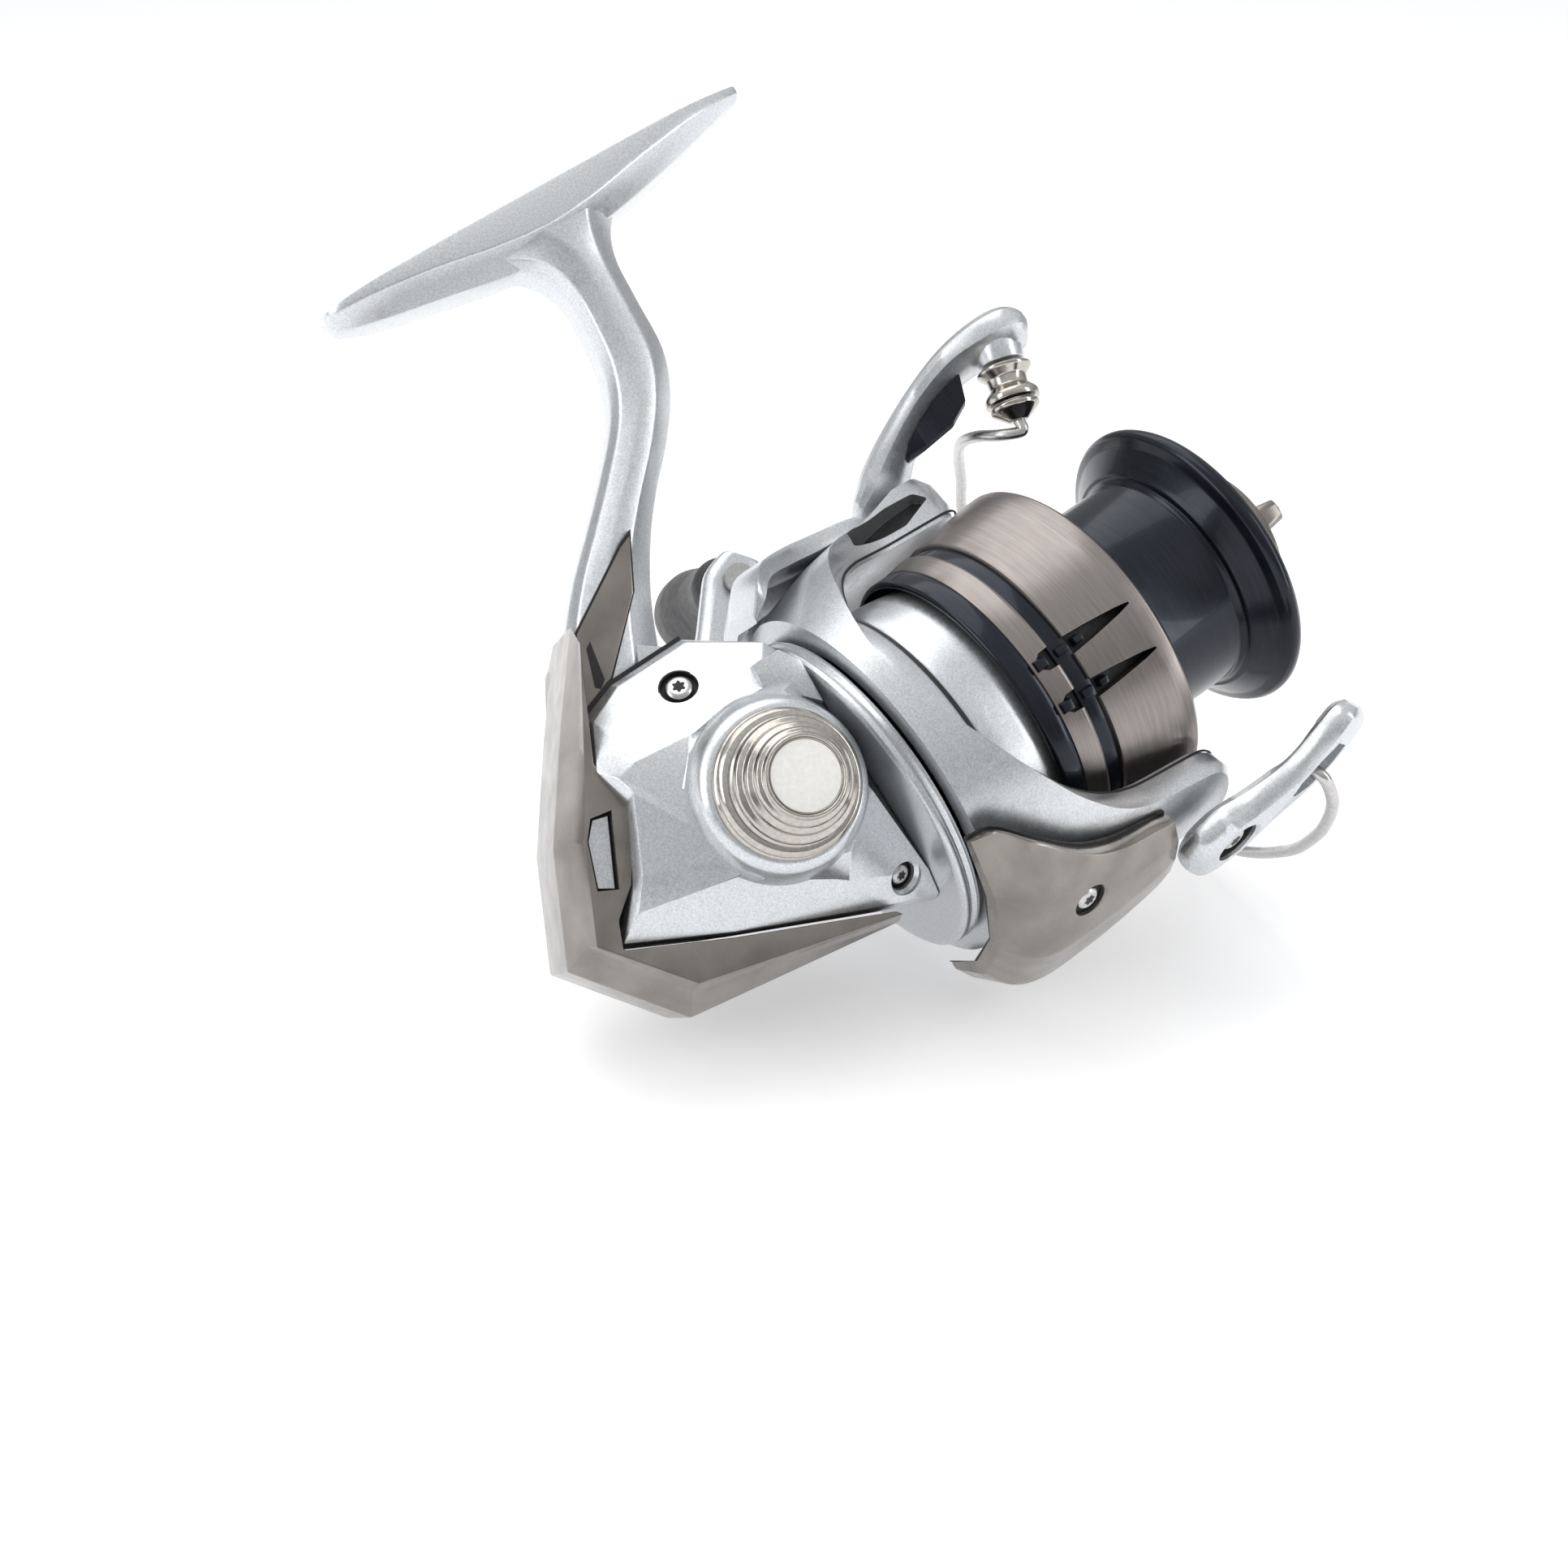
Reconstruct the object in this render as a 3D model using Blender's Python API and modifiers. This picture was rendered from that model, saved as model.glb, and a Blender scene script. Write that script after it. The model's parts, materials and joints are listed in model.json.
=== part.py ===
"""A front-drag spinning reel: 47 mm spool, folding bail, fixed rod foot.

World frame: +X is the spool's front, +Z points at the rod, +Y is the handle side, and the
origin is the centre of the foot's seat. Lengths below are millimetres in the reel's own
frame, whose datum is where the plane of the handle axis crosses the spool axis.
"""

import math

import bmesh
import bpy
from mathutils import Matrix, Vector

MM = 0.001

# Driving dimensions
SEAT_HEIGHT = 95.5  # foot seat above the spool axis
SEAT_X = 23.0  # middle of the foot, forward of the handle axis
FOOT_REAR_X = -12.1
FOOT_FRONT_X = 58.0
FOOT_HALF_WIDTH = 7.5
AXLE_Z = 8.65  # handle axis above the spool axis
BODY_HALF_WIDTH = 19.0
BODY_FULL_HALF_WIDTH = 8.0  # half width that keeps the whole side outline
CAVITY_HALF_WIDTH = 16.8
SEAM_Y = -6.0  # joint between frame and side cover
GAP = 0.3  # clearance between faceted neighbours
COLLAR_RADIUS = 25.2
COLLAR_X = (13.5, 16.3)
LIP_RADIUS = 23.5
ARBOR_RADIUS = 17.2
SKIRT_RADIUS = 26.2
SKIRT_REAR_RADIUS = 23.9
HUB_RADIUS = 22.4
PIVOT_X = 51.0  # bail pivot, forward of the handle axis
ARM_TILT = math.radians(29)  # turn of the rotor arms about the spool axis
BAIL_RADIUS = 48.0
SLOT_ANGLES = (190.0, 174.0)  # of the skirt's two slots, from +Y towards +Z
HANDLE_RADIUS = 44.0
HANDLE_ANGLE = math.radians(40)  # crank direction, from +X towards +Z
GEAR_TEETH = 36
PINION_TEETH = 6
WORM_GEAR_TEETH = 8
PINION_TIP = 4.5
GEAR_TIP_Y = -4.8  # plane of the drive gear's tooth tips
WORM_Y = 10.3
WORM_GEAR_TIP = 5.5

DATUM = Vector((-SEAT_X, 0.0, -SEAT_HEIGHT))
AXLE = (0.0, 0.0, AXLE_Z)
ARM_UP = Vector((0.0, math.sin(ARM_TILT), math.cos(ARM_TILT)))
ARM_SIDE = Vector((0.0, -math.cos(ARM_TILT), math.sin(ARM_TILT)))
X_AXIS = Vector((1.0, 0.0, 0.0))
Y_AXIS = Vector((0.0, 1.0, 0.0))
Z_AXIS = Vector((0.0, 0.0, 1.0))


def clear_scene():
    for obj in list(bpy.data.objects):
        bpy.data.objects.remove(obj, do_unlink=True)


def new_collection(name):
    collection = bpy.data.collections.new(name)
    bpy.context.scene.collection.children.link(collection)
    return collection


clear_scene()
PARTS = new_collection("spinning_reel")
CUTTERS = new_collection("cutters")


def finish(name, colour, metallic, roughness):
    made = bpy.data.materials.new(name)
    made.use_nodes = True
    shader = made.node_tree.nodes["Principled BSDF"]
    shader.inputs["Base Color"].default_value = (*colour, 1.0)
    shader.inputs["Metallic"].default_value = metallic
    shader.inputs["Roughness"].default_value = roughness
    return made


SILVER = finish("silver_paint", (0.72, 0.74, 0.76), 0.6, 0.32)
TAUPE = finish("taupe_metallic", (0.33, 0.29, 0.26), 0.8, 0.25)
BLACK = finish("black_anodised", (0.018, 0.02, 0.03), 0.5, 0.25)
NICKEL = finish("bright_nickel", (0.78, 0.75, 0.70), 1.0, 0.2)
STEEL = finish("stainless_steel", (0.62, 0.61, 0.60), 1.0, 0.3)
BRASS = finish("gear_brass", (0.70, 0.52, 0.25), 1.0, 0.35)
RUBBER = finish("black_rubber", (0.02, 0.02, 0.02), 0.0, 0.6)


# ---------------------------------------------------------------- placing and joining


def to_world(point):
    return (DATUM + Vector(point)) * MM


def joint_frame(name, point):
    """An empty on a joint's axis, which carries the pieces that move with it."""
    empty = bpy.data.objects.new(name, None)
    empty.location = to_world(point)
    empty.empty_display_size = 5 * MM
    PARTS.objects.link(empty)
    return empty


def facing(axis):
    return Z_AXIS.rotation_difference(Vector(axis)).to_matrix().to_4x4()


def add_object(name, data, look, at=(0, 0, 0), axis=Z_AXIS, joint=None, smooth=30):
    obj = bpy.data.objects.new(name, data)
    helper = look is None
    (CUTTERS if helper else PARTS).objects.link(obj)
    place = Matrix.Translation(to_world(at)) @ facing(axis)
    if joint:
        obj.parent = joint
        place = Matrix.Translation(-joint.location) @ place
    obj.matrix_basis = place
    if helper:
        obj.hide_render = True
        obj.display_type = "WIRE"
        return obj
    data.materials.append(look)
    if smooth and obj.type == "MESH":
        data.shade_smooth()
        data.set_sharp_from_angle(angle=math.radians(smooth))
    return obj


def combine(obj, other, operation):
    modifier = obj.modifiers.new(f"{operation.lower()}_{other.name}", "BOOLEAN")
    modifier.operation = operation
    modifier.object = other


def cut(obj, *cutters):
    for cutter in cutters:
        combine(obj, cutter, "DIFFERENCE")


def join(obj, *others):
    for other in others:
        combine(obj, other, "UNION")


# ---------------------------------------------------------------- shapes


def turned(name, profile, look, at=(0, 0, 0), axis=X_AXIS, joint=None, steps=24):
    """A turned piece: profile points are (radius, distance along the axis), top to bottom."""
    mesh = bpy.data.meshes.new(name)
    bm = bmesh.new()
    verts = [bm.verts.new((radius * MM, 0.0, height * MM)) for radius, height in profile]
    for upper, lower in zip(verts, verts[1:]):
        bm.edges.new((upper, lower))
    if profile[0][0] > 0:
        bm.edges.new((verts[-1], verts[0]))
    bm.to_mesh(mesh)
    bm.free()
    obj = add_object(name, mesh, look, at, axis, joint, smooth=0)
    screw = obj.modifiers.new("turn", "SCREW")
    screw.steps = steps
    screw.render_steps = steps
    screw.use_merge_vertices = True
    screw.merge_threshold = 0.00001
    screw.use_smooth_shade = True
    return obj


def tube_profile(outer, inner, top, bottom, edge=0.0):
    """A ring's section, with its two outer edges broken by `edge`."""
    if not edge:
        return [(outer, top), (outer, bottom), (inner, bottom), (inner, top)]
    return [
        (outer - edge, top),
        (outer, top - edge),
        (outer, bottom + edge),
        (outer - edge, bottom),
        (inner, bottom),
        (inner, top),
    ]


def rod(name, radius, start, end, look, joint=None, sides=16):
    """A plain round bar between two points."""
    start, end = Vector(start), Vector(end)
    mesh = bpy.data.meshes.new(name)
    bm = bmesh.new()
    bmesh.ops.create_cone(
        bm,
        cap_ends=True,
        segments=sides,
        radius1=radius * MM,
        radius2=radius * MM,
        depth=(end - start).length * MM,
    )
    bm.to_mesh(mesh)
    bm.free()
    middle = (start + end) / 2
    return add_object(name, mesh, look, middle, end - start, joint)


def block(name, low, high, look, joint=None, edge=0.0):
    """A box between two corners, with bevelled edges."""
    low, high = Vector(low), Vector(high)
    mesh = bpy.data.meshes.new(name)
    bm = bmesh.new()
    bmesh.ops.create_cube(bm, size=1.0)
    bmesh.ops.scale(bm, vec=(high - low) * MM, verts=bm.verts)
    if edge:
        bmesh.ops.bevel(bm, geom=bm.edges[:], offset=edge * MM, segments=1, affect="EDGES")
    bm.to_mesh(mesh)
    bm.free()
    return add_object(name, mesh, look, (low + high) / 2, joint=joint)


def lofted(name, rings, look, joint=None, closed=False, smooth=25):
    """A skin through rings of points, capped at both ends or closed on itself."""
    origin = joint.location if joint else DATUM * MM
    mesh = bpy.data.meshes.new(name)
    bm = bmesh.new()
    layers = [[bm.verts.new(to_world(p) - origin) for p in ring] for ring in rings]
    pairs = list(zip(layers, layers[1:]))
    if closed:
        pairs.append((layers[-1], layers[0]))
    count = len(layers[0])
    for lower, upper in pairs:
        for i in range(count):
            j = (i + 1) % count
            bm.faces.new((lower[i], lower[j], upper[j], upper[i]))
    if not closed:
        bm.faces.new(layers[0])
        bm.faces.new(layers[-1])
    bmesh.ops.recalc_face_normals(bm, faces=bm.faces)
    bm.to_mesh(mesh)
    bm.free()
    at = (origin / MM) - DATUM
    return add_object(name, mesh, look, at, joint=joint, smooth=smooth)


def plate(name, outlines, thickness, look, at, axis=X_AXIS, joint=None):
    """A flat outline with any holes, given as lists of (x, y), extruded about its middle."""
    curve = bpy.data.curves.new(name, "CURVE")
    curve.dimensions = "2D"
    curve.fill_mode = "BOTH"
    curve.extrude = thickness / 2 * MM
    for outline in outlines:
        spline = curve.splines.new("POLY")
        spline.points.add(len(outline) - 1)
        for point, (x, y) in zip(spline.points, outline):
            point.co = (x * MM, y * MM, 0.0, 1.0)
        spline.use_cyclic_u = True
    return add_object(name, curve, look, at, axis, joint)


def circle(radius, count, centre=(0.0, 0.0)):
    turn = 2 * math.pi / count
    return [
        (centre[0] + radius * math.cos(i * turn), centre[1] + radius * math.sin(i * turn))
        for i in range(count)
    ]


def toothed(teeth, root, tip, turn=0.0):
    """A gear's outline, four points to a tooth."""
    points = []
    for i in range(teeth):
        for share, radius in ((-0.32, root), (-0.14, tip), (0.14, tip), (0.32, root)):
            angle = turn + 2 * math.pi * (i + share) / teeth
            points.append((radius * math.cos(angle), radius * math.sin(angle)))
    return points


def wire(name, points, radius, look, joint=None, roundness=2):
    """A round wire through reel-frame points."""
    origin = joint.location if joint else DATUM * MM
    curve = bpy.data.curves.new(name, "CURVE")
    curve.dimensions = "3D"
    curve.bevel_depth = radius * MM
    curve.bevel_resolution = roundness
    curve.use_fill_caps = True
    spline = curve.splines.new("POLY")
    spline.points.add(len(points) - 1)
    for target, point in zip(spline.points, points):
        target.co = (*(to_world(point) - origin), 1.0)
    return add_object(name, curve, look, (origin / MM) - DATUM, joint=joint)


def smooth_path(knots, per_span):
    """Points along a Catmull-Rom curve through the knots."""
    knots = [Vector(k) for k in knots]
    padded = [2 * knots[0] - knots[1], *knots, 2 * knots[-1] - knots[-2]]
    path = []
    for a, b, c, d in zip(padded, padded[1:], padded[2:], padded[3:]):
        for step in range(per_span):
            t = step / per_span
            path.append(
                0.5
                * (2 * b + (c - a) * t + (2 * a - 5 * b + 4 * c - d) * t**2)
                + 0.5 * (3 * b - a - 3 * c + d) * t**3
            )
    path.append(knots[-1])
    return path


def screw(name, at, axis, length, hosts, joint=None, head=1.75, shank=1.0):
    """A round-head screw whose head top is at `at`, and its stepped hole in each host."""
    profile = [
        (0.0, -0.6),
        (0.8, -0.6),
        (0.9, 0.0),
        (head, -0.35),
        (head, -1.3),
        (shank, -1.3),
        (shank, -length),
        (0.0, -length),
    ]
    obj = turned(name, profile, STEEL, at, axis, joint, steps=10)
    hole = [
        (0.0, 6.0),
        (head + 0.5, 6.0),
        (head + 0.5, -1.3 - GAP),
        (shank + GAP, -1.3 - GAP),
        (shank + GAP, -length - GAP),
        (0.0, -length - GAP),
    ]
    cutter = turned(name + "_hole", hole, None, at, axis, joint, steps=10)
    for host in hosts:
        cut(host, cutter)
    return obj


# ---------------------------------------------------------------- joints

HANDLE_JOINT = joint_frame("handle_axis", AXLE)
ROTOR_JOINT = joint_frame("rotor_axis", (30.0, 0.0, 0.0))
BAIL_JOINT = joint_frame("bail_axis", (PIVOT_X, 0.0, 0.0))
SPOOL_JOINT = joint_frame("spool_axis", (60.0, 0.0, 0.0))
WORM_JOINT = joint_frame("worm_axis", (0.0, WORM_Y, 0.0))


# ---------------------------------------------------------------- body

# Side outlines as (x, z): the whole one, and the smaller one of the flat side faces.
BODY_OUTLINE = [
    (14.5, 22.0),
    (4.0, 31.0),
    (-8.0, 39.5),
    (-17.7, 24.5),
    (-16.5, 17.0),
    (-22.5, 8.5),
    (-26.6, 5.5),
    (-28.2, 2.5),
    (-15.0, -4.5),
    (5.0, -14.0),
    (14.5, -18.0),
]
BODY_FLAT = [
    (14.5, 19.0),
    (0.0, 21.6),
    (-9.0, 22.6),
    (-17.2, 22.0),
    (-16.0, 16.0),
    (-20.5, 9.5),
    (-23.5, 7.5),
    (-24.0, 5.5),
    (-12.0, 1.0),
    (4.0, -7.0),
    (14.5, -12.0),
]
CAVITY_OUTLINE = [
    (12.9, 18.6),
    (2.0, 27.5),
    (-6.0, 33.0),
    (-14.0, 23.3),
    (-13.8, 16.5),
    (-17.0, 9.0),
    (-17.0, 0.5),
    (-15.0, -3.0),
    (5.0, -12.2),
    (12.9, -15.0),
]
CAVITY_FLAT = [
    (12.9, 17.0),
    (0.5, 19.4),
    (-8.0, 20.4),
    (-13.5, 20.0),
    (-13.3, 16.0),
    (-16.5, 9.0),
    (-16.5, 5.0),
    (-11.0, 2.6),
    (4.0, -5.0),
    (12.9, -9.0),
]


# On the handle side the body is deeper below, to hold the cross-wind worm.
DEEPER = 5.5


def left_of(outline):
    """The flat outline of the handle side."""
    return [(x, z - DEEPER if z < 6.0 and x > -20.0 else z) for x, z in outline]


def side_ring(outline, y, front=None):
    """An (x, z) outline at one y, with its front edge moved to `front`."""
    foremost = max(x for x, _ in outline)
    return [(front if front and x == foremost else x, y, z) for x, z in outline]


def cavity(name, start, side, front=None):
    """The hollow of one half of the body, open at `start`."""
    rings = [
        side_ring(CAVITY_OUTLINE, start),
        side_ring(CAVITY_OUTLINE, side * BODY_FULL_HALF_WIDTH),
        side_ring(left_of(CAVITY_FLAT) if side > 0 else CAVITY_FLAT, side * CAVITY_HALF_WIDTH),
    ]
    if front:
        rings = [[(front if x > 12.0 else x, y, z) for x, y, z in ring] for ring in rings]
    return lofted(name, rings, None)


# Stem sections from the body to the foot: rear edge (x, z), front edge (x, z), half width.
STEM = [
    ((-12.8, 33.6), (3.0, 32.8), 6.7),
    ((-7.5, 41.8), (7.0, 42.0), 6.7),
    ((6.0, 55.2), (17.4, 54.0), 6.2),
    ((14.4, 64.0), (24.6, 62.2), 5.9),
    ((17.3, 69.0), (26.6, 68.0), 5.8),
    ((17.4, 81.0), (29.2, 81.0), 6.2),
    ((12.5, 89.8), (35.0, 90.0), 7.0),
]
# Foot sections: x, half width, depth of the underside below the seat.
FOOT = [
    (FOOT_REAR_X, 2.2, 1.9),
    (-8.5, 5.4, 2.8),
    (0.0, 7.2, 4.4),
    (12.0, FOOT_HALF_WIDTH, 6.2),
    (SEAT_X, FOOT_HALF_WIDTH, 7.2),
    (36.0, FOOT_HALF_WIDTH, 6.2),
    (49.0, 6.8, 3.9),
    (FOOT_FRONT_X, 3.2, 1.9),
]
FOOT_EDGE = 1.3


def stem_ring(rear, front, half):
    rear, front = Vector((rear[0], 0, rear[1])), Vector((front[0], 0, front[1]))
    ring = []
    for share, width in ((0.0, 0.42), (0.42, 1.0), (0.8, 0.86), (1.0, 0.5)):
        ring.append(rear.lerp(front, share) + Y_AXIS * half * width)
    return ring + [p - 2 * p.y * Y_AXIS for p in reversed(ring)]


def foot_ring(x, half, depth):
    side = [(half, 0.0), (half, FOOT_EDGE), (half * 0.62, depth)]
    ring = [(x, y, SEAT_HEIGHT - drop) for y, drop in side]
    return ring + [(x, -y, z) for x, y, z in reversed(ring)]


def boss(name, side):
    """The round bearing boss on one side of the body."""
    profile = [(0.0, 22.0), (10.6, 22.0), (11.6, 21.2), (12.0, 18.0), (0.0, 18.0)]
    return turned(name, profile, None, AXLE, Y_AXIS * side)


def bearing_bore(name, side):
    profile = [(0.0, 24.0), (4.6, 24.0), (4.6, 21.3), (6.8, 21.3), (6.8, 15.0), (0.0, 15.0)]
    return turned(name, profile, None, AXLE, Y_AXIS * side, steps=20)


def main_frame():
    rings = [
        side_ring(BODY_OUTLINE, SEAM_Y),
        side_ring(BODY_OUTLINE, BODY_FULL_HALF_WIDTH),
        side_ring(left_of(BODY_FLAT), BODY_HALF_WIDTH),
    ]
    frame = lofted("main_frame", rings, SILVER)
    stem = lofted("stem_shape", [stem_ring(*s) for s in STEM], None)
    foot = lofted("foot_shape", [foot_ring(*s) for s in FOOT], None)
    rear, front = COLLAR_X
    collar_profile = [
        (0.0, 20.2),
        (14.5, 20.2),
        (15.0, front),
        (COLLAR_RADIUS - 0.8, front),
        (COLLAR_RADIUS, front - 0.8),
        (COLLAR_RADIUS, rear),
        (0.0, rear),
    ]
    collar = turned("collar_shape", collar_profile, None, steps=32)
    join(frame, collar, boss("left_boss", 1), stem, foot)
    nose_bore = turned("nose_bore", tube_cutter(8.3, 21.0, 10.0), None, steps=20)
    cut(frame, cavity("left_cavity", SEAM_Y - 2, 1), nose_bore, bearing_bore("left_bore", 1))
    return frame


def tube_cutter(radius, top, bottom):
    return [(0.0, top), (radius, top), (radius, bottom), (0.0, bottom)]


def side_cover():
    front = COLLAR_X[0] - GAP
    rings = [
        side_ring(BODY_OUTLINE, SEAM_Y - GAP, front),
        side_ring(BODY_OUTLINE, -BODY_FULL_HALF_WIDTH, front),
        side_ring(BODY_FLAT, -BODY_HALF_WIDTH, front),
    ]
    cover = lofted("side_cover", rings, SILVER)
    join(cover, boss("right_boss", -1))
    cut(cover, block("seam_cut", (-30.0, -30.0, 32.3), (20.0, -5.0, 60.0), None))
    cut(cover, cavity("right_cavity", SEAM_Y + 2, -1, 15.0), bearing_bore("right_bore", -1))
    return cover


# The guard's section as (x, z): its outer side, then the side that faces the body.
GUARD_OUTER = [(-8.5, 42.0), (-17.3, 31.5), (-27.6, 18.2), (-35.2, 3.6), (-24.8, -11.0)]
GUARD_TOE = [(7.5, -17.2)]
GUARD_INNER = [
    (5.6, -14.7),
    (-15.0, -4.9),
    (-28.6, 2.3),
    (-27.0, 5.8),
    (-22.9, 8.8),
    (-16.9, 17.0),
    (-18.1, 24.6),
]
GUARD_SIDE = [(-10.0, 39.0), (-17.3, 28.6), (-25.6, 17.2), (-31.6, 5.2), (-24.6, -6.4)]
GUARD_SIDE_TOE = [(6.6, -15.6)]
GUARD_HALF_WIDTH = 14.0
GUARD_FULL_HALF_WIDTH = 7.6


def rear_guard():
    """The wrap behind and under the body, faceted towards its sides."""
    whole = GUARD_OUTER + GUARD_TOE + GUARD_INNER
    side = GUARD_SIDE + GUARD_SIDE_TOE + GUARD_INNER
    rings = [
        side_ring(side, -GUARD_HALF_WIDTH),
        side_ring(whole, -GUARD_FULL_HALF_WIDTH),
        side_ring(whole, GUARD_FULL_HALF_WIDTH),
        side_ring(side, GUARD_HALF_WIDTH),
    ]
    guard = lofted("rear_guard", rings, TAUPE)
    window = block("guard_window", (-27.0, -30.0, 9.0), (-23.0, -12.6, 18.0), None)
    cut(guard, window)
    return guard


def stem_inlay(name, side):
    """The pointed blade on one side of the stem's root."""
    outline = [(5.6, 48.0), (-8.0, 41.0), (-14.6, 30.8), (-8.2, 33.0), (1.0, 41.0)]
    outer = [(x * 0.96 + 0.1, z * 0.98 + 0.8) for x, z in outline]
    rings = [side_ring(outline, side * 7.1), side_ring(outer, side * 8.0)]
    return lofted(name, rings, TAUPE)


def inlay_pocket(name, side):
    outline = [(9.0, 51.0), (-20.0, 42.0), (-20.0, 26.0), (-8.0, 32.4), (4.0, 40.0)]
    return lofted(name, [side_ring(outline, side * y) for y in (6.8, 12.0)], None)


def body():
    frame = main_frame()
    cover = side_cover()
    guard = rear_guard()
    right_pocket = inlay_pocket("inlay_pocket_right", -1)
    cut(cover, right_pocket)
    cut(frame, right_pocket, inlay_pocket("inlay_pocket_left", 1))
    stem_inlay("stem_inlay_right", -1)
    stem_inlay("stem_inlay_left", 1)
    screw("cover_screw_top", (-3.0, -13.6, 27.0), -Y_AXIS, 5.0, [cover])
    screw("cover_screw_front", (9.0, -13.0, -10.6), -Y_AXIS, 5.0, [cover])
    screw("guard_screw", (-28.4, 0.0, -4.0), (-0.8, 0.0, -0.6), 6.0, [guard])


def body_hardware():
    cap_ring = [(8.2, 24.4), (10.0, 23.6), (10.0, 22.3), (7.2, 22.3), (7.2, 24.4)]
    turned("cap_ring", cap_ring, NICKEL, AXLE, -Y_AXIS)
    cap = [
        (0.0, 31.1),
        (4.7, 31.1),
        (5.3, 30.4),
        (6.4, 29.8),
        (7.2, 27.4),
        (8.0, 26.8),
        (8.6, 25.4),
        (8.6, 24.8),
        (6.8, 24.8),
        (6.8, 22.3),
        (0.0, 22.3),
    ]
    turned("handle_cap", cap, NICKEL, AXLE, -Y_AXIS)
    for name, side in (("gear_bearing_right", -1), ("gear_bearing_left", 1)):
        ring = tube_profile(6.5, 3.7, 21.0, 17.4, 0.3)
        turned(name, ring, STEEL, AXLE, Y_AXIS * side, steps=20)
    turned("pinion_bearing", tube_profile(8.0, 4.25, 20.0, 16.6, 0.3), STEEL, steps=20)
    turned("roller_clutch", tube_profile(14.0, 5.6, 30.0, 20.5, 0.5), STEEL, steps=20)
    turned("clutch_cover", tube_profile(14.0, 5.9, 31.4, 30.3, 0.3), NICKEL, steps=20)
    turned("rotor_brake_ring", tube_profile(16.8, 15.4, 18.6, 16.6, 0.3), RUBBER, steps=20)


# ---------------------------------------------------------------- drive train and handle


def crank_point(reach, y, across=0.0):
    """A point of the crank: reach along it, y outward, across it."""
    along = Vector((math.cos(HANDLE_ANGLE), 0.0, math.sin(HANDLE_ANGLE)))
    over = Vector((-math.sin(HANDLE_ANGLE), 0.0, math.cos(HANDLE_ANGLE)))
    return Vector(AXLE) + along * reach + over * across + Y_AXIS * y


def drive_gear():
    """A crown gear: teeth on its face, towards the pinion."""
    rings = []
    count = 2 * GEAR_TEETH
    for i in range(count):
        tip = GEAR_TIP_Y - (0.0 if i % 2 else 1.1)
        section = [
            (3.7, -10.0),
            (12.5, -10.0),
            (12.5, tip),
            (8.6, tip),
            (3.7, -7.6),
        ]
        angle = 2 * math.pi * i / count
        rings.append(
            [(r * math.cos(angle), y, AXLE_Z + r * math.sin(angle)) for r, y in section]
        )
    return lofted("drive_gear", rings, BRASS, HANDLE_JOINT, closed=True)


def crank():
    """The bent handle arm, with its hub, its folding fork and the knob's end boss."""
    path = [(-5.0, 30.0, 5.5, 4.6), (0.0, 30.2, 6.4, 4.8), (9.0, 32.6, 5.0, 3.4)]
    path += [(20.0, 38.4, 4.4, 2.7), (32.0, 44.6, 4.4, 2.5), (40.0, 47.4, 5.0, 2.5)]
    path += [(44.0, 48.0, 5.2, 2.5), (48.6, 48.0, 3.0, 2.1)]
    rings = []
    for reach, y, half, thick in path:
        corners = [
            (half * 0.6, thick),
            (half, thick * 0.35),
            (half, -thick * 0.35),
            (half * 0.6, -thick),
        ]
        ring = [crank_point(reach, y + dy, across) for across, dy in corners]
        ring += [crank_point(reach, y + dy, -across) for across, dy in reversed(corners)]
        rings.append(ring)
    arm = lofted("handle_arm", rings, SILVER, HANDLE_JOINT, smooth=40)
    pin_ends = (crank_point(HANDLE_RADIUS, 60), crank_point(HANDLE_RADIUS, 40))
    hole = rod("knob_pin_hole", 1.9, *pin_ends, None)
    seat = turned("hub_seat", tube_cutter(6.3, 28.6, 20.0), None, AXLE, Y_AXIS, steps=20)
    cut(arm, hole, seat)


def drive_train():
    shaft = [
        (0.0, 23.0),
        (3.1, 23.0),
        (3.4, 22.6),
        (3.4, -10.3),
        (5.4, -10.3),
        (5.4, -12.0),
        (3.4, -12.0),
        (3.4, -21.6),
        (0.0, -21.6),
    ]
    turned("drive_shaft", shaft, STEEL, AXLE, Y_AXIS, HANDLE_JOINT, steps=20)
    drive_gear()
    hub = [(0.0, 28.3), (5.2, 28.3), (6.0, 27.4), (6.0, 24.6), (7.4, 23.4), (7.4, 22.5)]
    hub += [(4.0, 22.5), (4.0, 23.4), (0.0, 23.4)]
    turned("handle_hub", hub, NICKEL, AXLE, Y_AXIS, HANDLE_JOINT, steps=20)
    crank()
    pin_at = crank_point(HANDLE_RADIUS, 0.0)
    pin = [(0.0, 76.0), (2.6, 76.0), (2.6, 74.9), (1.5, 74.9), (1.5, 44.8), (2.6, 44.8)]
    pin += [(2.6, 43.8), (0.0, 43.8)]
    turned("knob_pin", pin, STEEL, pin_at, Y_AXIS, HANDLE_JOINT, steps=16)
    knob_joint = joint_frame("knob_axis", pin_at)
    knob = [
        (6.2, 78.0),
        (7.4, 76.0),
        (7.6, 71.0),
        (6.4, 64.0),
        (5.6, 58.0),
        (5.9, 54.0),
        (5.2, 51.6),
        (2.2, 51.6),
        (2.2, 73.6),
        (4.2, 74.2),
        (4.2, 78.0),
    ]
    turned("handle_knob", knob, RUBBER, pin_at, Y_AXIS, knob_joint, steps=20)
    cap = [(0.0, 79.2), (3.0, 79.2), (3.8, 78.6), (3.8, 76.8), (0.0, 76.8)]
    turned("knob_cap", cap, NICKEL, pin_at, Y_AXIS, knob_joint, steps=20)


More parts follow.
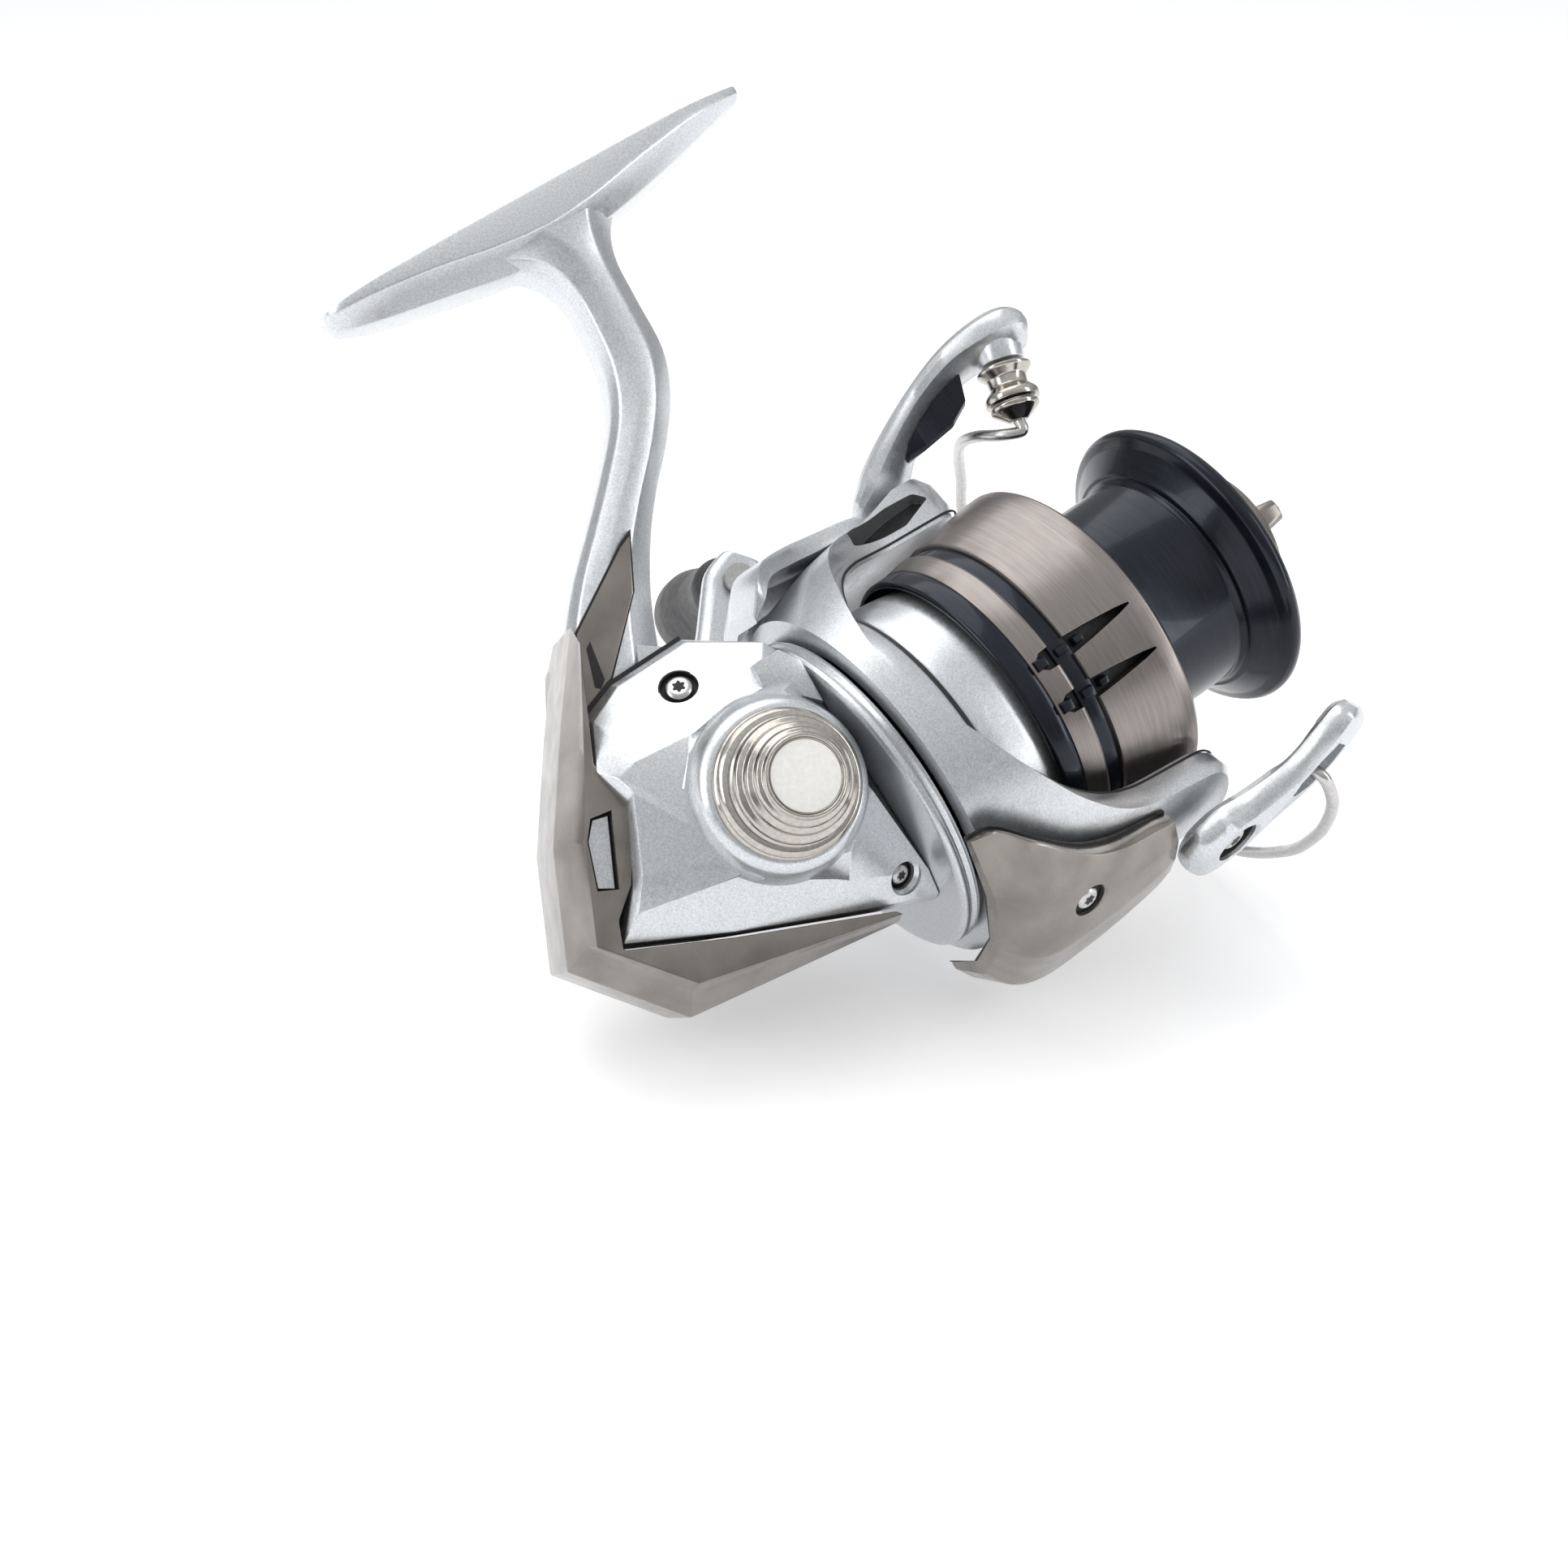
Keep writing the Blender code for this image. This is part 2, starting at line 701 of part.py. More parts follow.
def pinion():
    """The brass pinion: helical teeth at the rear, and the tube that carries the rotor."""
    rings = []
    for step in range(4):
        x = 5.5 + 3.0 * step
        outline = toothed(PINION_TEETH, 3.3, PINION_TIP, math.radians(12 * step))
        rings.append([(x, y, z) for y, z in outline])
    gear = lofted("pinion_gear", rings, BRASS, ROTOR_JOINT)
    sleeve = [(0.0, 38.8), (3.0, 38.8), (3.0, 32.7), (3.9, 32.7), (3.9, 13.0), (0.0, 13.0)]
    join(gear, turned("pinion_sleeve", sleeve, None, steps=20))
    cut(gear, turned("pinion_bore", tube_cutter(2.1, 42.0, 2.0), None, steps=20))
    clutch = tube_profile(5.3, 4.2, 30.6, 20.4)
    turned("clutch_sleeve", clutch, STEEL, joint=ROTOR_JOINT, steps=20)


def worm_gear():
    """The cross-wind worm and its gear, turned by the pinion."""
    pitch = 5.0
    rings = []
    for step in range(21):
        x = -13.6 + 18.6 * step / 20
        phase = 2 * math.pi * (x / pitch)
        ring = []
        for i in range(10):
            angle = 2 * math.pi * i / 10
            depth = 0.45 * (0.5 + 0.5 * math.cos(angle - phase))
            radius = 2.0 - depth
            ring.append((x, WORM_Y + radius * math.cos(angle), radius * math.sin(angle)))
        rings.append(ring)
    worm = lofted("worm_shaft", rings, STEEL, WORM_JOINT, smooth=50)
    spindle = rod("worm_spindle", 1.2, (-14.8, WORM_Y, 0), (11.6, WORM_Y, 0), None, sides=10)
    join(worm, spindle)
    outlines = [toothed(WORM_GEAR_TEETH, 4.2, WORM_GEAR_TIP, math.radians(10)), circle(1.5, 12)]
    plate("worm_gear", outlines, 3.0, BRASS, (8.6, WORM_Y, 0.0), joint=WORM_JOINT)


# ---------------------------------------------------------------- rotor and bail


def arm_point(forward, across, height):
    """A point by the bail pivot: forward of it, across the arms, out along the pivot axis."""
    return Vector((PIVOT_X + forward, 0, 0)) + ARM_SIDE * across + ARM_UP * height


def arm_shell(name, sections, side, look, joint=None):
    """One curved arm: each section is (x, half angle in degrees, inner radius, outer radius)."""
    rings = []
    for x, half, inner, outer in sections:
        ring = []
        for radius, shares in ((inner, (-1, -0.5, 0, 0.5, 1)), (outer, (1, 0.5, 0, -0.5, -1))):
            for share in shares:
                turn = math.radians(half * share)
                height = side * radius * math.cos(turn)
                ring.append(arm_point(x - PIVOT_X, radius * math.sin(turn), height))
        rings.append(ring)
    return lofted(name, rings, look, joint)


ARM_SECTIONS = [
    (17.2, 62.0, 23.6, 28.2),
    (20.5, 60.0, 24.4, 29.2),
    (24.4, 56.0, 25.6, 30.4),
    (28.4, 42.0, 26.8, 31.5),
    (31.5, 34.0, 27.3, 32.0),
    (34.9, 27.0, 27.4, 32.5),
    (42.7, 18.0, 27.4, 32.8),
    (50.2, 15.0, 27.4, 32.8),
    (54.0, 12.5, 27.4, 32.8),
    (57.2, 5.0, 27.4, 32.4),
]
SCREW_TURN = math.radians(12)  # of the cover screws from the arms' middle
COVER_SECTIONS = [
    (14.6, 40.0, 29.0, 31.5),
    (17.4, 41.0, 31.4, 35.2),
    (21.0, 35.0, 33.2, 36.6),
    (27.0, 25.0, 33.2, 36.8),
    (33.0, 19.0, 33.2, 36.8),
    (40.0, 15.5, 33.2, 36.4),
    (43.0, 13.5, 33.2, 36.0),
]


def rotor():
    profile = [
        (6.5, 37.6),
        (7.0, 36.2),
        (14.5, 36.2),
        (16.0, 42.4),
        (17.2, 42.6),
        (19.6, 40.6),
        (21.4, 36.0),
        (22.3, 30.0),
        (HUB_RADIUS, 25.8),
        (HUB_RADIUS - 0.5, 25.3),
        (HUB_RADIUS, 24.8),
        (24.4, 24.6),
        (27.6, 18.6),
        (28.0, 17.8),
        (27.6, 17.0),
        (26.0, 17.0),
        (21.4, 22.6),
        (20.6, 33.0),
        (3.4, 33.0),
        (3.4, 37.6),
    ]
    hub = turned("rotor", profile, SILVER, joint=ROTOR_JOINT, steps=32)
    for name, side in (("upper_arm", 1), ("lower_arm", -1)):
        join(hub, arm_shell(name, ARM_SECTIONS, side, None))
    nut = [circle(5.6, 6), circle(3.4, 16)]
    plate("rotor_nut", nut, 2.6, NICKEL, (39.3, 0, 0), joint=ROTOR_JOINT)
    for name, side in (("upper", 1), ("lower", -1)):
        cover = arm_shell(f"arm_cover_{name}", COVER_SECTIONS, side, TAUPE, ROTOR_JOINT)
        out = (ARM_UP * math.cos(SCREW_TURN) - ARM_SIDE * math.sin(SCREW_TURN)) * side
        head = X_AXIS * 26.0 + out * 36.6
        screw(f"arm_screw_{name}", head, out, 6.4, [cover, hub], ROTOR_JOINT)
    radius = 30.2
    spring_points = []
    for i in range(25):
        swing = Vector((math.cos(i * math.pi / 2), math.sin(i * math.pi / 2))) * 1.3
        spring_points.append(arm_point(-15.0 + 0.45 * i, swing.x, radius + swing.y))
    tunnel_ends = (arm_point(-16.5, 0, radius), arm_point(-3.0, 0, radius))
    mouth_ends = (arm_point(-9, 0, radius), arm_point(-9, 0, 26.0))
    tunnel = rod("spring_tunnel", 2.2, *tunnel_ends, None, sides=12)
    mouth = rod("spring_mouth", 1.7, *mouth_ends, None, sides=12)
    cut(hub, tunnel, mouth)
    wire("bail_spring", spring_points, 0.35, STEEL, ROTOR_JOINT, 0)


# Centre line of each lever: forward, across, height, half width, half thickness.
ROLLER_LEVER = [
    (-5.0, -1.6, 38.0, 2.4, 1.1),
    (-2.4, -0.6, 38.6, 4.8, 1.9),
    (1.5, 1.6, 39.7, 5.6, 2.7),
    (6.0, 6.4, 41.8, 5.0, 2.8),
    (12.0, 12.0, 42.8, 4.5, 2.4),
    (18.0, 16.2, 42.4, 4.7, 2.2),
    (23.2, 19.0, 40.2, 5.0, 2.4),
    (26.8, 19.4, 37.8, 3.2, 1.8),
]
CAM_LEVER = [
    (-6.4, -0.6, 36.6, 2.8, 1.7),
    (-4.2, -0.4, 36.9, 5.4, 2.6),
    (0.5, 0.2, 37.0, 6.2, 2.9),
    (6.0, 2.4, 37.6, 4.6, 2.6),
    (12.0, 6.0, 38.4, 4.0, 2.4),
    (17.5, 10.0, 38.2, 4.2, 2.4),
    (21.0, 12.6, 37.8, 3.0, 2.0),
]
ROLLER_AXIS = (ARM_UP * 9.8 + X_AXIS * 4.0 + ARM_SIDE * 4.2).normalized()
ROLLER_AT = arm_point(21.0, 16.4, 34.2)
# The bail wire leaves the roller's cone, rises, runs round the far side and meets the cam lever.
WIRE_START = [
    (16.0, 12.5, 29.8),
    (14.8, 9.6, 33.6),
    (15.2, 4.6, 37.2),
    (17.0, -2.0, 39.6),
    (18.8, -10.5, 40.4),
]
WIRE_ROUND = (28, 48, 69, 90, 111, 132, 152, 166, 175)
WIRE_END = [(14.6, 1.6, -43.8), (14.2, 4.6, -42.8), (13.6, 6.8, -41.6)]


def lever_rings(sections, side):
    """Eight-cornered sections square to the lever's centre line."""
    centres = [arm_point(f, a, side * h) for f, a, h, _, _ in sections]
    rings = []
    for i, (_, _, _, half, thick) in enumerate(sections):
        run = (centres[min(i + 1, len(centres) - 1)] - centres[max(i - 1, 0)]).normalized()
        over = run.cross(ARM_UP * side).normalized()
        out = over.cross(run)
        corners = [(1.0, 0.25), (0.55, 1.0), (-0.55, 1.0), (-1.0, 0.25)]
        corners += [(-1.0, -0.5), (-0.7, -1.0), (0.7, -1.0), (1.0, -0.5)]
        rings.append([centres[i] + over * half * u + out * thick * v for u, v in corners])
    return rings


def bail():
    levers = [
        lofted(name, lever_rings(sections, side), SILVER, BAIL_JOINT, smooth=40)
        for name, sections, side in (
            ("roller_lever", ROLLER_LEVER, 1),
            ("cam_lever", CAM_LEVER, -1),
        )
    ]
    roller_lever, cam_lever = levers
    seat = ROLLER_AT + ROLLER_AXIS * 3.3
    join(roller_lever, rod("roller_seat", 3.4, seat, seat + ROLLER_AXIS * 3.6, None))
    for name, lever, height, length in (
        ("pivot_screw_upper", roller_lever, 41.2, 7.6),
        ("pivot_screw_lower", cam_lever, -39.2, 5.8),
    ):
        out = ARM_UP * math.copysign(1.0, height)
        screw(name, arm_point(0.0, 0.3, height), out, length, [lever], BAIL_JOINT, 2.2, 1.2)
    head = ROLLER_AT + ROLLER_AXIS * 9.0
    screw("roller_screw", head, ROLLER_AXIS, 12.9, [roller_lever], BAIL_JOINT, 2.0, 1.3)
    roller_joint = joint_frame("roller_axis", ROLLER_AT)
    roller = [
        (3.6, 2.9),
        (4.3, 2.3),
        (3.1, 0.9),
        (3.0, -0.5),
        (4.3, -2.0),
        (4.3, -2.9),
        (1.7, -2.9),
        (1.7, 2.9),
    ]
    turned("line_roller", roller, NICKEL, ROLLER_AT, ROLLER_AXIS, roller_joint, steps=20)
    cone_at = ROLLER_AT - ROLLER_AXIS * 3.3
    cone = [(0.0, -1.1), (1.6, -1.1), (1.6, 0.0), (3.9, 0.0), (3.9, -0.8), (1.7, -2.4), (0.0, -2.4)]
    turned("bail_cone", cone, NICKEL, cone_at, ROLLER_AXIS, BAIL_JOINT, steps=20)
    loop = list(WIRE_START)
    for index, degrees in enumerate(WIRE_ROUND):
        turn = math.radians(degrees)
        reach = BAIL_RADIUS - 4.0 * abs(math.cos(turn))
        forward = 19.2 - 0.5 * index
        loop.append((forward, -reach * math.sin(turn), reach * math.cos(turn)))
    loop += WIRE_END
    root = cone_at - ROLLER_AXIS * 4.2
    knots = [root, *(arm_point(*knot) for knot in loop)]
    wire("bail_wire", smooth_path(knots, 3), 0.95, STEEL, BAIL_JOINT)


# ---------------------------------------------------------------- spool and drag


def spool():
    core = [
        (14.0, 81.0),
        (20.4, 81.0),
        (22.6, 80.5),
        (LIP_RADIUS, 79.6),
        (LIP_RADIUS, 78.5),
        (22.6, 77.8),
        (18.4, 74.6),
        (17.6, 74.2),
        (ARBOR_RADIUS, 73.6),
        (ARBOR_RADIUS, 55.3),
        (22.0, 55.3),
        (22.0, 53.8),
        (15.4, 53.8),
        (15.4, 61.8),
        (7.4, 61.8),
        (7.0, 55.0),
        (5.4, 55.0),
        (5.4, 60.0),
        (2.3, 60.0),
        (2.3, 64.0),
        (14.0, 64.0),
    ]
    turned("spool_core", core, BLACK, joint=SPOOL_JOINT, steps=32)
    skirt = [
        (ARBOR_RADIUS + GAP, 56.9),
        (SKIRT_RADIUS - 1.6, 56.9),
        (SKIRT_RADIUS, 56.1),
        (SKIRT_RADIUS - 0.1, 54.0),
        (24.65, 43.2),
        (24.1, 43.0),
        (24.0, 41.2),
        (24.35, 41.0),
        (SKIRT_REAR_RADIUS, 37.3),
        (23.1, 37.3),
        (24.0, 50.0),
        (23.6, 55.7),
        (ARBOR_RADIUS + GAP, 55.7),
    ]
    shell = turned("spool_skirt", skirt, TAUPE, joint=SPOOL_JOINT, steps=32)
    turned(
        "skirt_ring",
        [(23.6, 37.0), (23.9, 36.6), (23.9, 34.4), (23.5, 34.0), (23.1, 34.0), (23.1, 37.0)],
        BLACK,
        joint=SPOOL_JOINT,
        steps=32,
    )
    for index, degrees in enumerate(SLOT_ANGLES):
        turn = math.radians(degrees)
        out = Vector((0.0, math.cos(turn), math.sin(turn)))
        over = Vector((0.0, -math.sin(turn), math.cos(turn)))
        rings = []
        for x, half in ((53.6, 0.25), (45.0, 1.2), (40.0, 1.35), (38.6, 0.5)):
            ends = ((21.5, -half), (21.5, half), (28.0, half), (28.0, -half))
            rings.append([Vector((x, 0, 0)) + out * r + over * w for r, w in ends])
        cut(shell, lofted(f"skirt_slot_{index}", rings, None))
    turn = math.radians(SLOT_ANGLES[0])
    clip_at = Vector((42.2, 24.3 * math.cos(turn), 24.3 * math.sin(turn)))
    clip = block("line_clip", (-1.6, -0.7, -0.55), (1.6, 0.7, 0.55), BLACK, edge=0.2)
    clip.matrix_basis = (
        Matrix.Translation(to_world(clip_at) - SPOOL_JOINT.location)
        @ Matrix.Rotation(turn, 4, "X")
    )
    clip.parent = SPOOL_JOINT
    for name, ring, look in (
        ("spool_bearing", tube_profile(5.1, 2.1, 59.7, 56.4, 0.2), STEEL),
        ("drag_washer_felt", tube_profile(13.2, 2.4, 65.6, 64.3), RUBBER),
        ("drag_washer_metal", tube_profile(13.2, 2.4, 66.9, 65.9), STEEL),
        ("drag_washer_top", tube_profile(13.2, 2.4, 68.4, 67.2), RUBBER),
        ("drag_retainer", tube_profile(13.7, 12.6, 69.6, 68.8), STEEL),
    ):
        turned(name, ring, look, joint=SPOOL_JOINT, steps=20)


def drag():
    knob = [
        (0.0, 89.6),
        (8.0, 89.6),
        (11.0, 88.6),
        (12.2, 86.0),
        (12.6, 82.0),
        (12.6, 77.0),
        (11.0, 76.0),
        (9.6, 76.0),
        (9.6, 85.0),
        (2.2, 85.0),
        (2.2, 87.6),
        (0.0, 87.6),
    ]
    cap = turned("drag_knob", knob, TAUPE, joint=SPOOL_JOINT, steps=32)
    bar = block("knob_bar", (88.0, -11.0, -2.4), (92.2, 11.0, 2.4), None, edge=0.9)
    join(cap, bar)
    nut = [circle(5.0, 6), circle(2.1, 16)]
    plate("drag_nut", nut, 3.0, BRASS, (80.0, 0, 0), joint=SPOOL_JOINT)
    spring = [
        (70.6 + 0.32 * i, 3.6 * math.cos(i * math.pi / 3), 3.6 * math.sin(i * math.pi / 3))
        for i in range(19)
    ]
    wire("drag_spring", spring, 0.45, STEEL, SPOOL_JOINT, 0)


def main_shaft():
    shaft = [(0.0, 87.0), (1.5, 87.0), (1.75, 86.7), (1.75, -6.9), (0.0, -6.9)]
    turned("main_shaft", shaft, STEEL, joint=SPOOL_JOINT, steps=16)
    collar = tube_profile(4.6, 2.05, 53.4, 51.0, 0.3)
    turned("shaft_collar", collar, BRASS, joint=SPOOL_JOINT, steps=20)
    outline = [(-2.8, -3.2), (2.8, -3.2), (2.8, 11.6), (1.4, 13.1), (-1.4, 13.1), (-2.8, 11.6)]
    outlines = [outline, circle(2.05, 16), circle(2.3, 16, (0.0, WORM_Y))]
    at = (-4.0, 0, 0)
    plate("oscillation_slider", outlines, 3.0, NICKEL, at, joint=SPOOL_JOINT)


body()
body_hardware()
drive_train()
pinion()
worm_gear()
rotor()
bail()
spool()
drag()
main_shaft()
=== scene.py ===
"""The looks of the spinning reel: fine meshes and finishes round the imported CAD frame.

Lengths in the shape functions are millimetres in the reel's own frame, whose datum is where
the plane of the handle axis crosses the spool axis: x forward, y to the handle side, z up.
"""

import json
import math

import bmesh
import bpy
from mathutils import Matrix, Vector


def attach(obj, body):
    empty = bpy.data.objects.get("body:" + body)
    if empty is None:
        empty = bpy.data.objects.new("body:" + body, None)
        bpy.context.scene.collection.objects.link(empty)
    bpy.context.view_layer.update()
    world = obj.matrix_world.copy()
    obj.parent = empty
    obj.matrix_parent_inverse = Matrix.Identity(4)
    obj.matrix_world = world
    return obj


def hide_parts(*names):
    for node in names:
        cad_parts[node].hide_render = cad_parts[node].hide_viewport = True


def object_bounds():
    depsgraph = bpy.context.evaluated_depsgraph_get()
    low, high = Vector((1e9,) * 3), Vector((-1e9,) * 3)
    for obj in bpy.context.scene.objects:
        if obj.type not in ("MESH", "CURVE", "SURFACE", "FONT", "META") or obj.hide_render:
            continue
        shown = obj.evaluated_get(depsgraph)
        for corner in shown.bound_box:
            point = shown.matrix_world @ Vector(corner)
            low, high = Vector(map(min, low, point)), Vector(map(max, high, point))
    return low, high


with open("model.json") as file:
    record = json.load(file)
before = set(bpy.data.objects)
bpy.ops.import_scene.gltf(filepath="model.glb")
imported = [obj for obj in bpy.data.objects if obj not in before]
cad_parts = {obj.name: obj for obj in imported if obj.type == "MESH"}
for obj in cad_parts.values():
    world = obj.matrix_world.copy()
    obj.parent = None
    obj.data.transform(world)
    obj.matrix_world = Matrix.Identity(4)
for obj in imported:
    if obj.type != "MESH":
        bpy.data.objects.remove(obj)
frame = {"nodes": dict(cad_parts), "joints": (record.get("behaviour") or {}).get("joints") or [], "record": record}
CAD_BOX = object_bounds()

MM = 0.001
JOINTS = {joint["name"]: joint for joint in frame["joints"]}
HANDLE_AT = Vector(JOINTS["handle_spin"]["pos_m"])
SPOOL_AT = Vector(JOINTS["rotor_spin"]["pos_m"])
DATUM = Vector((HANDLE_AT.x, SPOOL_AT.y, SPOOL_AT.z))
AXLE_Z = (HANDLE_AT.z - SPOOL_AT.z) / MM
PIVOT_X = (JOINTS["bail_open"]["pos_m"][0] - DATUM.x) / MM
SEAT_Z = (CAD_BOX[1].z - DATUM.z) / MM
ROLLER_AXIS = Vector(JOINTS["line_roller_spin"]["axis"]).normalized()
ROLLER_AT = (Vector(JOINTS["line_roller_spin"]["pos_m"]) - DATUM) / MM

X_AXIS = Vector((1.0, 0.0, 0.0))
Y_AXIS = Vector((0.0, 1.0, 0.0))
AXLE = Vector((0.0, 0.0, AXLE_Z))
CENTRE = Vector((0.0, 0.0, 0.0))
# The bail's pivot axis gives the direction of the rotor's two arms.
ARM_UP = -Vector(JOINTS["bail_open"]["axis"])
ARM_SIDE = Vector((0.0, -ARM_UP.z, ARM_UP.y))
# The radius of the handle axle's bore, and of the room the gears need inside the body.
BORE = 6.7
GEAR_ROOM = 12.9


# ---------------------------------------------------------------- materials


def set_inputs(node, values):
    for name, value in values.items():
        node.inputs[name].default_value = value
    return node


def map_range(nodes, from_low, from_high, to_low, to_high):
    ramp = nodes.new("ShaderNodeMapRange")
    set_inputs(ramp, {"From Min": from_low, "From Max": from_high})
    return set_inputs(ramp, {"To Min": to_low, "To Max": to_high})


def new_material(name, colour, metallic, roughness, coat=0.0, coat_roughness=0.1):
    made = bpy.data.materials.new(name)
    made.use_nodes = True
    shader = made.node_tree.nodes["Principled BSDF"]
    set_inputs(shader, {"Base Color": (*colour, 1.0), "Metallic": metallic, "Roughness": roughness})
    set_inputs(shader, {"Coat Weight": coat, "Coat Roughness": coat_roughness})
    return made


def noise(made, scale, detail=2.0, stretch=(1.0, 1.0, 1.0)):
    """A noise texture in the reel's own space, so it stays on a piece that moves."""
    nodes, links = made.node_tree.nodes, made.node_tree.links
    place = nodes.new("ShaderNodeTexCoord")
    mapping = set_inputs(nodes.new("ShaderNodeMapping"), {"Scale": stretch})
    texture = set_inputs(nodes.new("ShaderNodeTexNoise"), {"Scale": scale, "Detail": detail})
    links.new(place.outputs["Object"], mapping.inputs["Vector"])
    links.new(mapping.outputs["Vector"], texture.inputs["Vector"])
    return texture.outputs["Fac"]


NOISE_SPAN = (0.3, 0.7)


def spread_colour(made, source, low, high):
    """Drives the base colour between two colours from a texture."""
    nodes, links = made.node_tree.nodes, made.node_tree.links
    ramp = nodes.new("ShaderNodeValToRGB")
    for stop, position, colour in zip(ramp.color_ramp.elements, NOISE_SPAN, (low, high)):
        stop.position = position
        stop.color = (*colour, 1.0)
    links.new(source, ramp.inputs["Fac"])
    links.new(ramp.outputs["Color"], nodes["Principled BSDF"].inputs["Base Color"])


def spread_roughness(made, source, low, high):
    """Drives the roughness between two values from a texture."""
    nodes, links = made.node_tree.nodes, made.node_tree.links
    ramp = map_range(nodes, *NOISE_SPAN, low, high)
    links.new(source, ramp.inputs["Value"])
    links.new(ramp.outputs["Result"], nodes["Principled BSDF"].inputs["Roughness"])


def relief(made, source, strength, depth):
    """Turns a texture into fine bumps, `depth` metres high."""
    nodes, links = made.node_tree.nodes, made.node_tree.links
    bump = set_inputs(nodes.new("ShaderNodeBump"), {"Strength": strength, "Distance": depth})
    links.new(source, bump.inputs["Height"])
    links.new(bump.outputs["Normal"], nodes["Principled BSDF"].inputs["Normal"])


def silver_paint():
    """Silver paint with fine metal flake under a thin lacquer."""
    made = new_material("silver_paint_fine", (0.62, 0.64, 0.66), 0.85, 0.34, 0.35, 0.12)
    flake = noise(made, 3600.0, 1.0)
    spread_colour(made, flake, (0.54, 0.56, 0.585), (0.72, 0.735, 0.75))
    spread_roughness(made, noise(made, 900.0), 0.28, 0.38)
    relief(made, flake, 0.10, 0.00004)
    return made


def taupe_metallic():
    """Taupe paint, slightly cloudy, under a thin lacquer."""
    made = new_material("taupe_metallic_fine", (0.24, 0.22, 0.20), 0.8, 0.26, 0.2, 0.06)
    cloud = noise(made, 170.0, 3.0)
    spread_colour(made, cloud, (0.20, 0.182, 0.166), (0.29, 0.264, 0.24))
    flake = noise(made, 3200.0, 1.0)
    spread_roughness(made, noise(made, 260.0), 0.2, 0.3)
    relief(made, flake, 0.05, 0.00003)
    return made


def turned_metal(name, low, high, rough, metallic=1.0, coat=0.0):
    """Metal with fine lines round the spool axis."""
    made = new_material(name, low, metallic, rough[0], coat, 0.06)
    lines = noise(made, 500.0, 2.0, (8.0, 0.25, 0.25))
    spread_colour(made, lines, low, high)
    spread_roughness(made, noise(made, 300.0), *rough)
    relief(made, lines, 0.06, 0.00003)
    return made


def plain_metal(name, low, high, rough, grain=1800.0):
    made = new_material(name, low, 1.0, rough[0])
    spread_colour(made, noise(made, grain), low, high)
    spread_roughness(made, noise(made, grain / 4), *rough)
    relief(made, noise(made, grain), 0.04, 0.00003)
    return made


def black_rubber():
    made = new_material("black_rubber_fine", (0.018, 0.018, 0.019), 0.0, 0.5, 0.15, 0.3)
    grain = noise(made, 2400.0, 3.0)
    spread_colour(made, grain, (0.013, 0.013, 0.014), (0.024, 0.024, 0.026))
    spread_roughness(made, noise(made, 700.0), 0.42, 0.58)
    relief(made, grain, 0.2, 0.00005)
    return made


def cap_face():
    made = new_material("cap_face_satin", (0.9, 0.88, 0.83), 0.2, 0.3)
    spread_colour(made, noise(made, 1500.0), (0.86, 0.84, 0.79), (0.94, 0.92, 0.88))
    return made


# Flat black for dark joints and seams, and for painted shade in wells, sockets, grooves, slots, the guard's
# window, the arm's pocket and inside the skirt.
def joint_black_and_painted_shade():
    made = new_material("joint_black_and_painted_shade", (0.012, 0.012, 0.013), 0.0, 0.55)
    spread_roughness(made, noise(made, 1500.0), 0.5, 0.65)
    return made


BLACK_TONES = ((0.010, 0.012, 0.019), (0.017, 0.020, 0.030))
SKIRT_TONES = ((0.25, 0.225, 0.212), (0.31, 0.28, 0.265))
NICKEL_TONES = ((0.44, 0.41, 0.375), (0.54, 0.51, 0.47))
STEEL_TONES = ((0.50, 0.49, 0.48), (0.60, 0.59, 0.58))
BRASS_TONES = ((0.64, 0.47, 0.21), (0.74, 0.56, 0.28))

# Each finish: its material, and the record's slot that it belongs to.
SILVER = (silver_paint(), "silver_paint")
TAUPE = (taupe_metallic(), "taupe_metallic")
SKIRT = (turned_metal("taupe_turned", *SKIRT_TONES, (0.28, 0.36)), "taupe_metallic")
BLACK = (turned_metal("black_anodised_fine", *BLACK_TONES, (0.2, 0.28), 0.7, 0.15), "black_anodised")
NICKEL = (plain_metal("bright_nickel_fine", *NICKEL_TONES, (0.14, 0.22)), "bright_nickel")
STEEL = (plain_metal("stainless_steel_fine", *STEEL_TONES, (0.24, 0.34)), "stainless_steel")
BRASS = (plain_metal("gear_brass_fine", *BRASS_TONES, (0.28, 0.38)), "gear_brass")
RUBBER = (black_rubber(), "black_rubber")
FACE = (cap_face(), "bright_nickel")
# Flat black: dark joints, and painted shade where recesses and grooves would be dark.
DARK_JOINTS_AND_SHADE = (joint_black_and_painted_shade(), "black_rubber")

LOOK_OF_SLOT = {slot: look for look, slot in (SILVER, TAUPE, BLACK, NICKEL, STEEL, BRASS, RUBBER)}
NODE_SLOTS = {part["node"]: part["material_slot"] for part in frame["record"]["subparts"]}


def dress_frame():
    """Gives each CAD node that stays the finish of its own material slot."""
    for name, node in frame["nodes"].items():
        look = LOOK_OF_SLOT[NODE_SLOTS[name]]
        for slot in node.material_slots:
            slot.material = look
        if not node.material_slots:
            node.data.materials.append(look)


# ---------------------------------------------------------------- shapes


def reel(point):
    """A reel-frame point in millimetres, as a place in the row frame in metres."""
    return DATUM + Vector(point) * MM


def facing(at, axis):
    """The placing of a turned piece: its own z along `axis`."""
    aim = Vector((0.0, 0.0, 1.0)).rotation_difference(Vector(axis)).to_matrix().to_4x4()
    return Matrix.Translation(Vector(at)) @ aim


def toward(corner, other, distance):
    """A point on the way from a corner to another, kept short of half way."""
    run = other - corner
    return corner + run * min(0.45, distance / max(run.length, 1e-6))


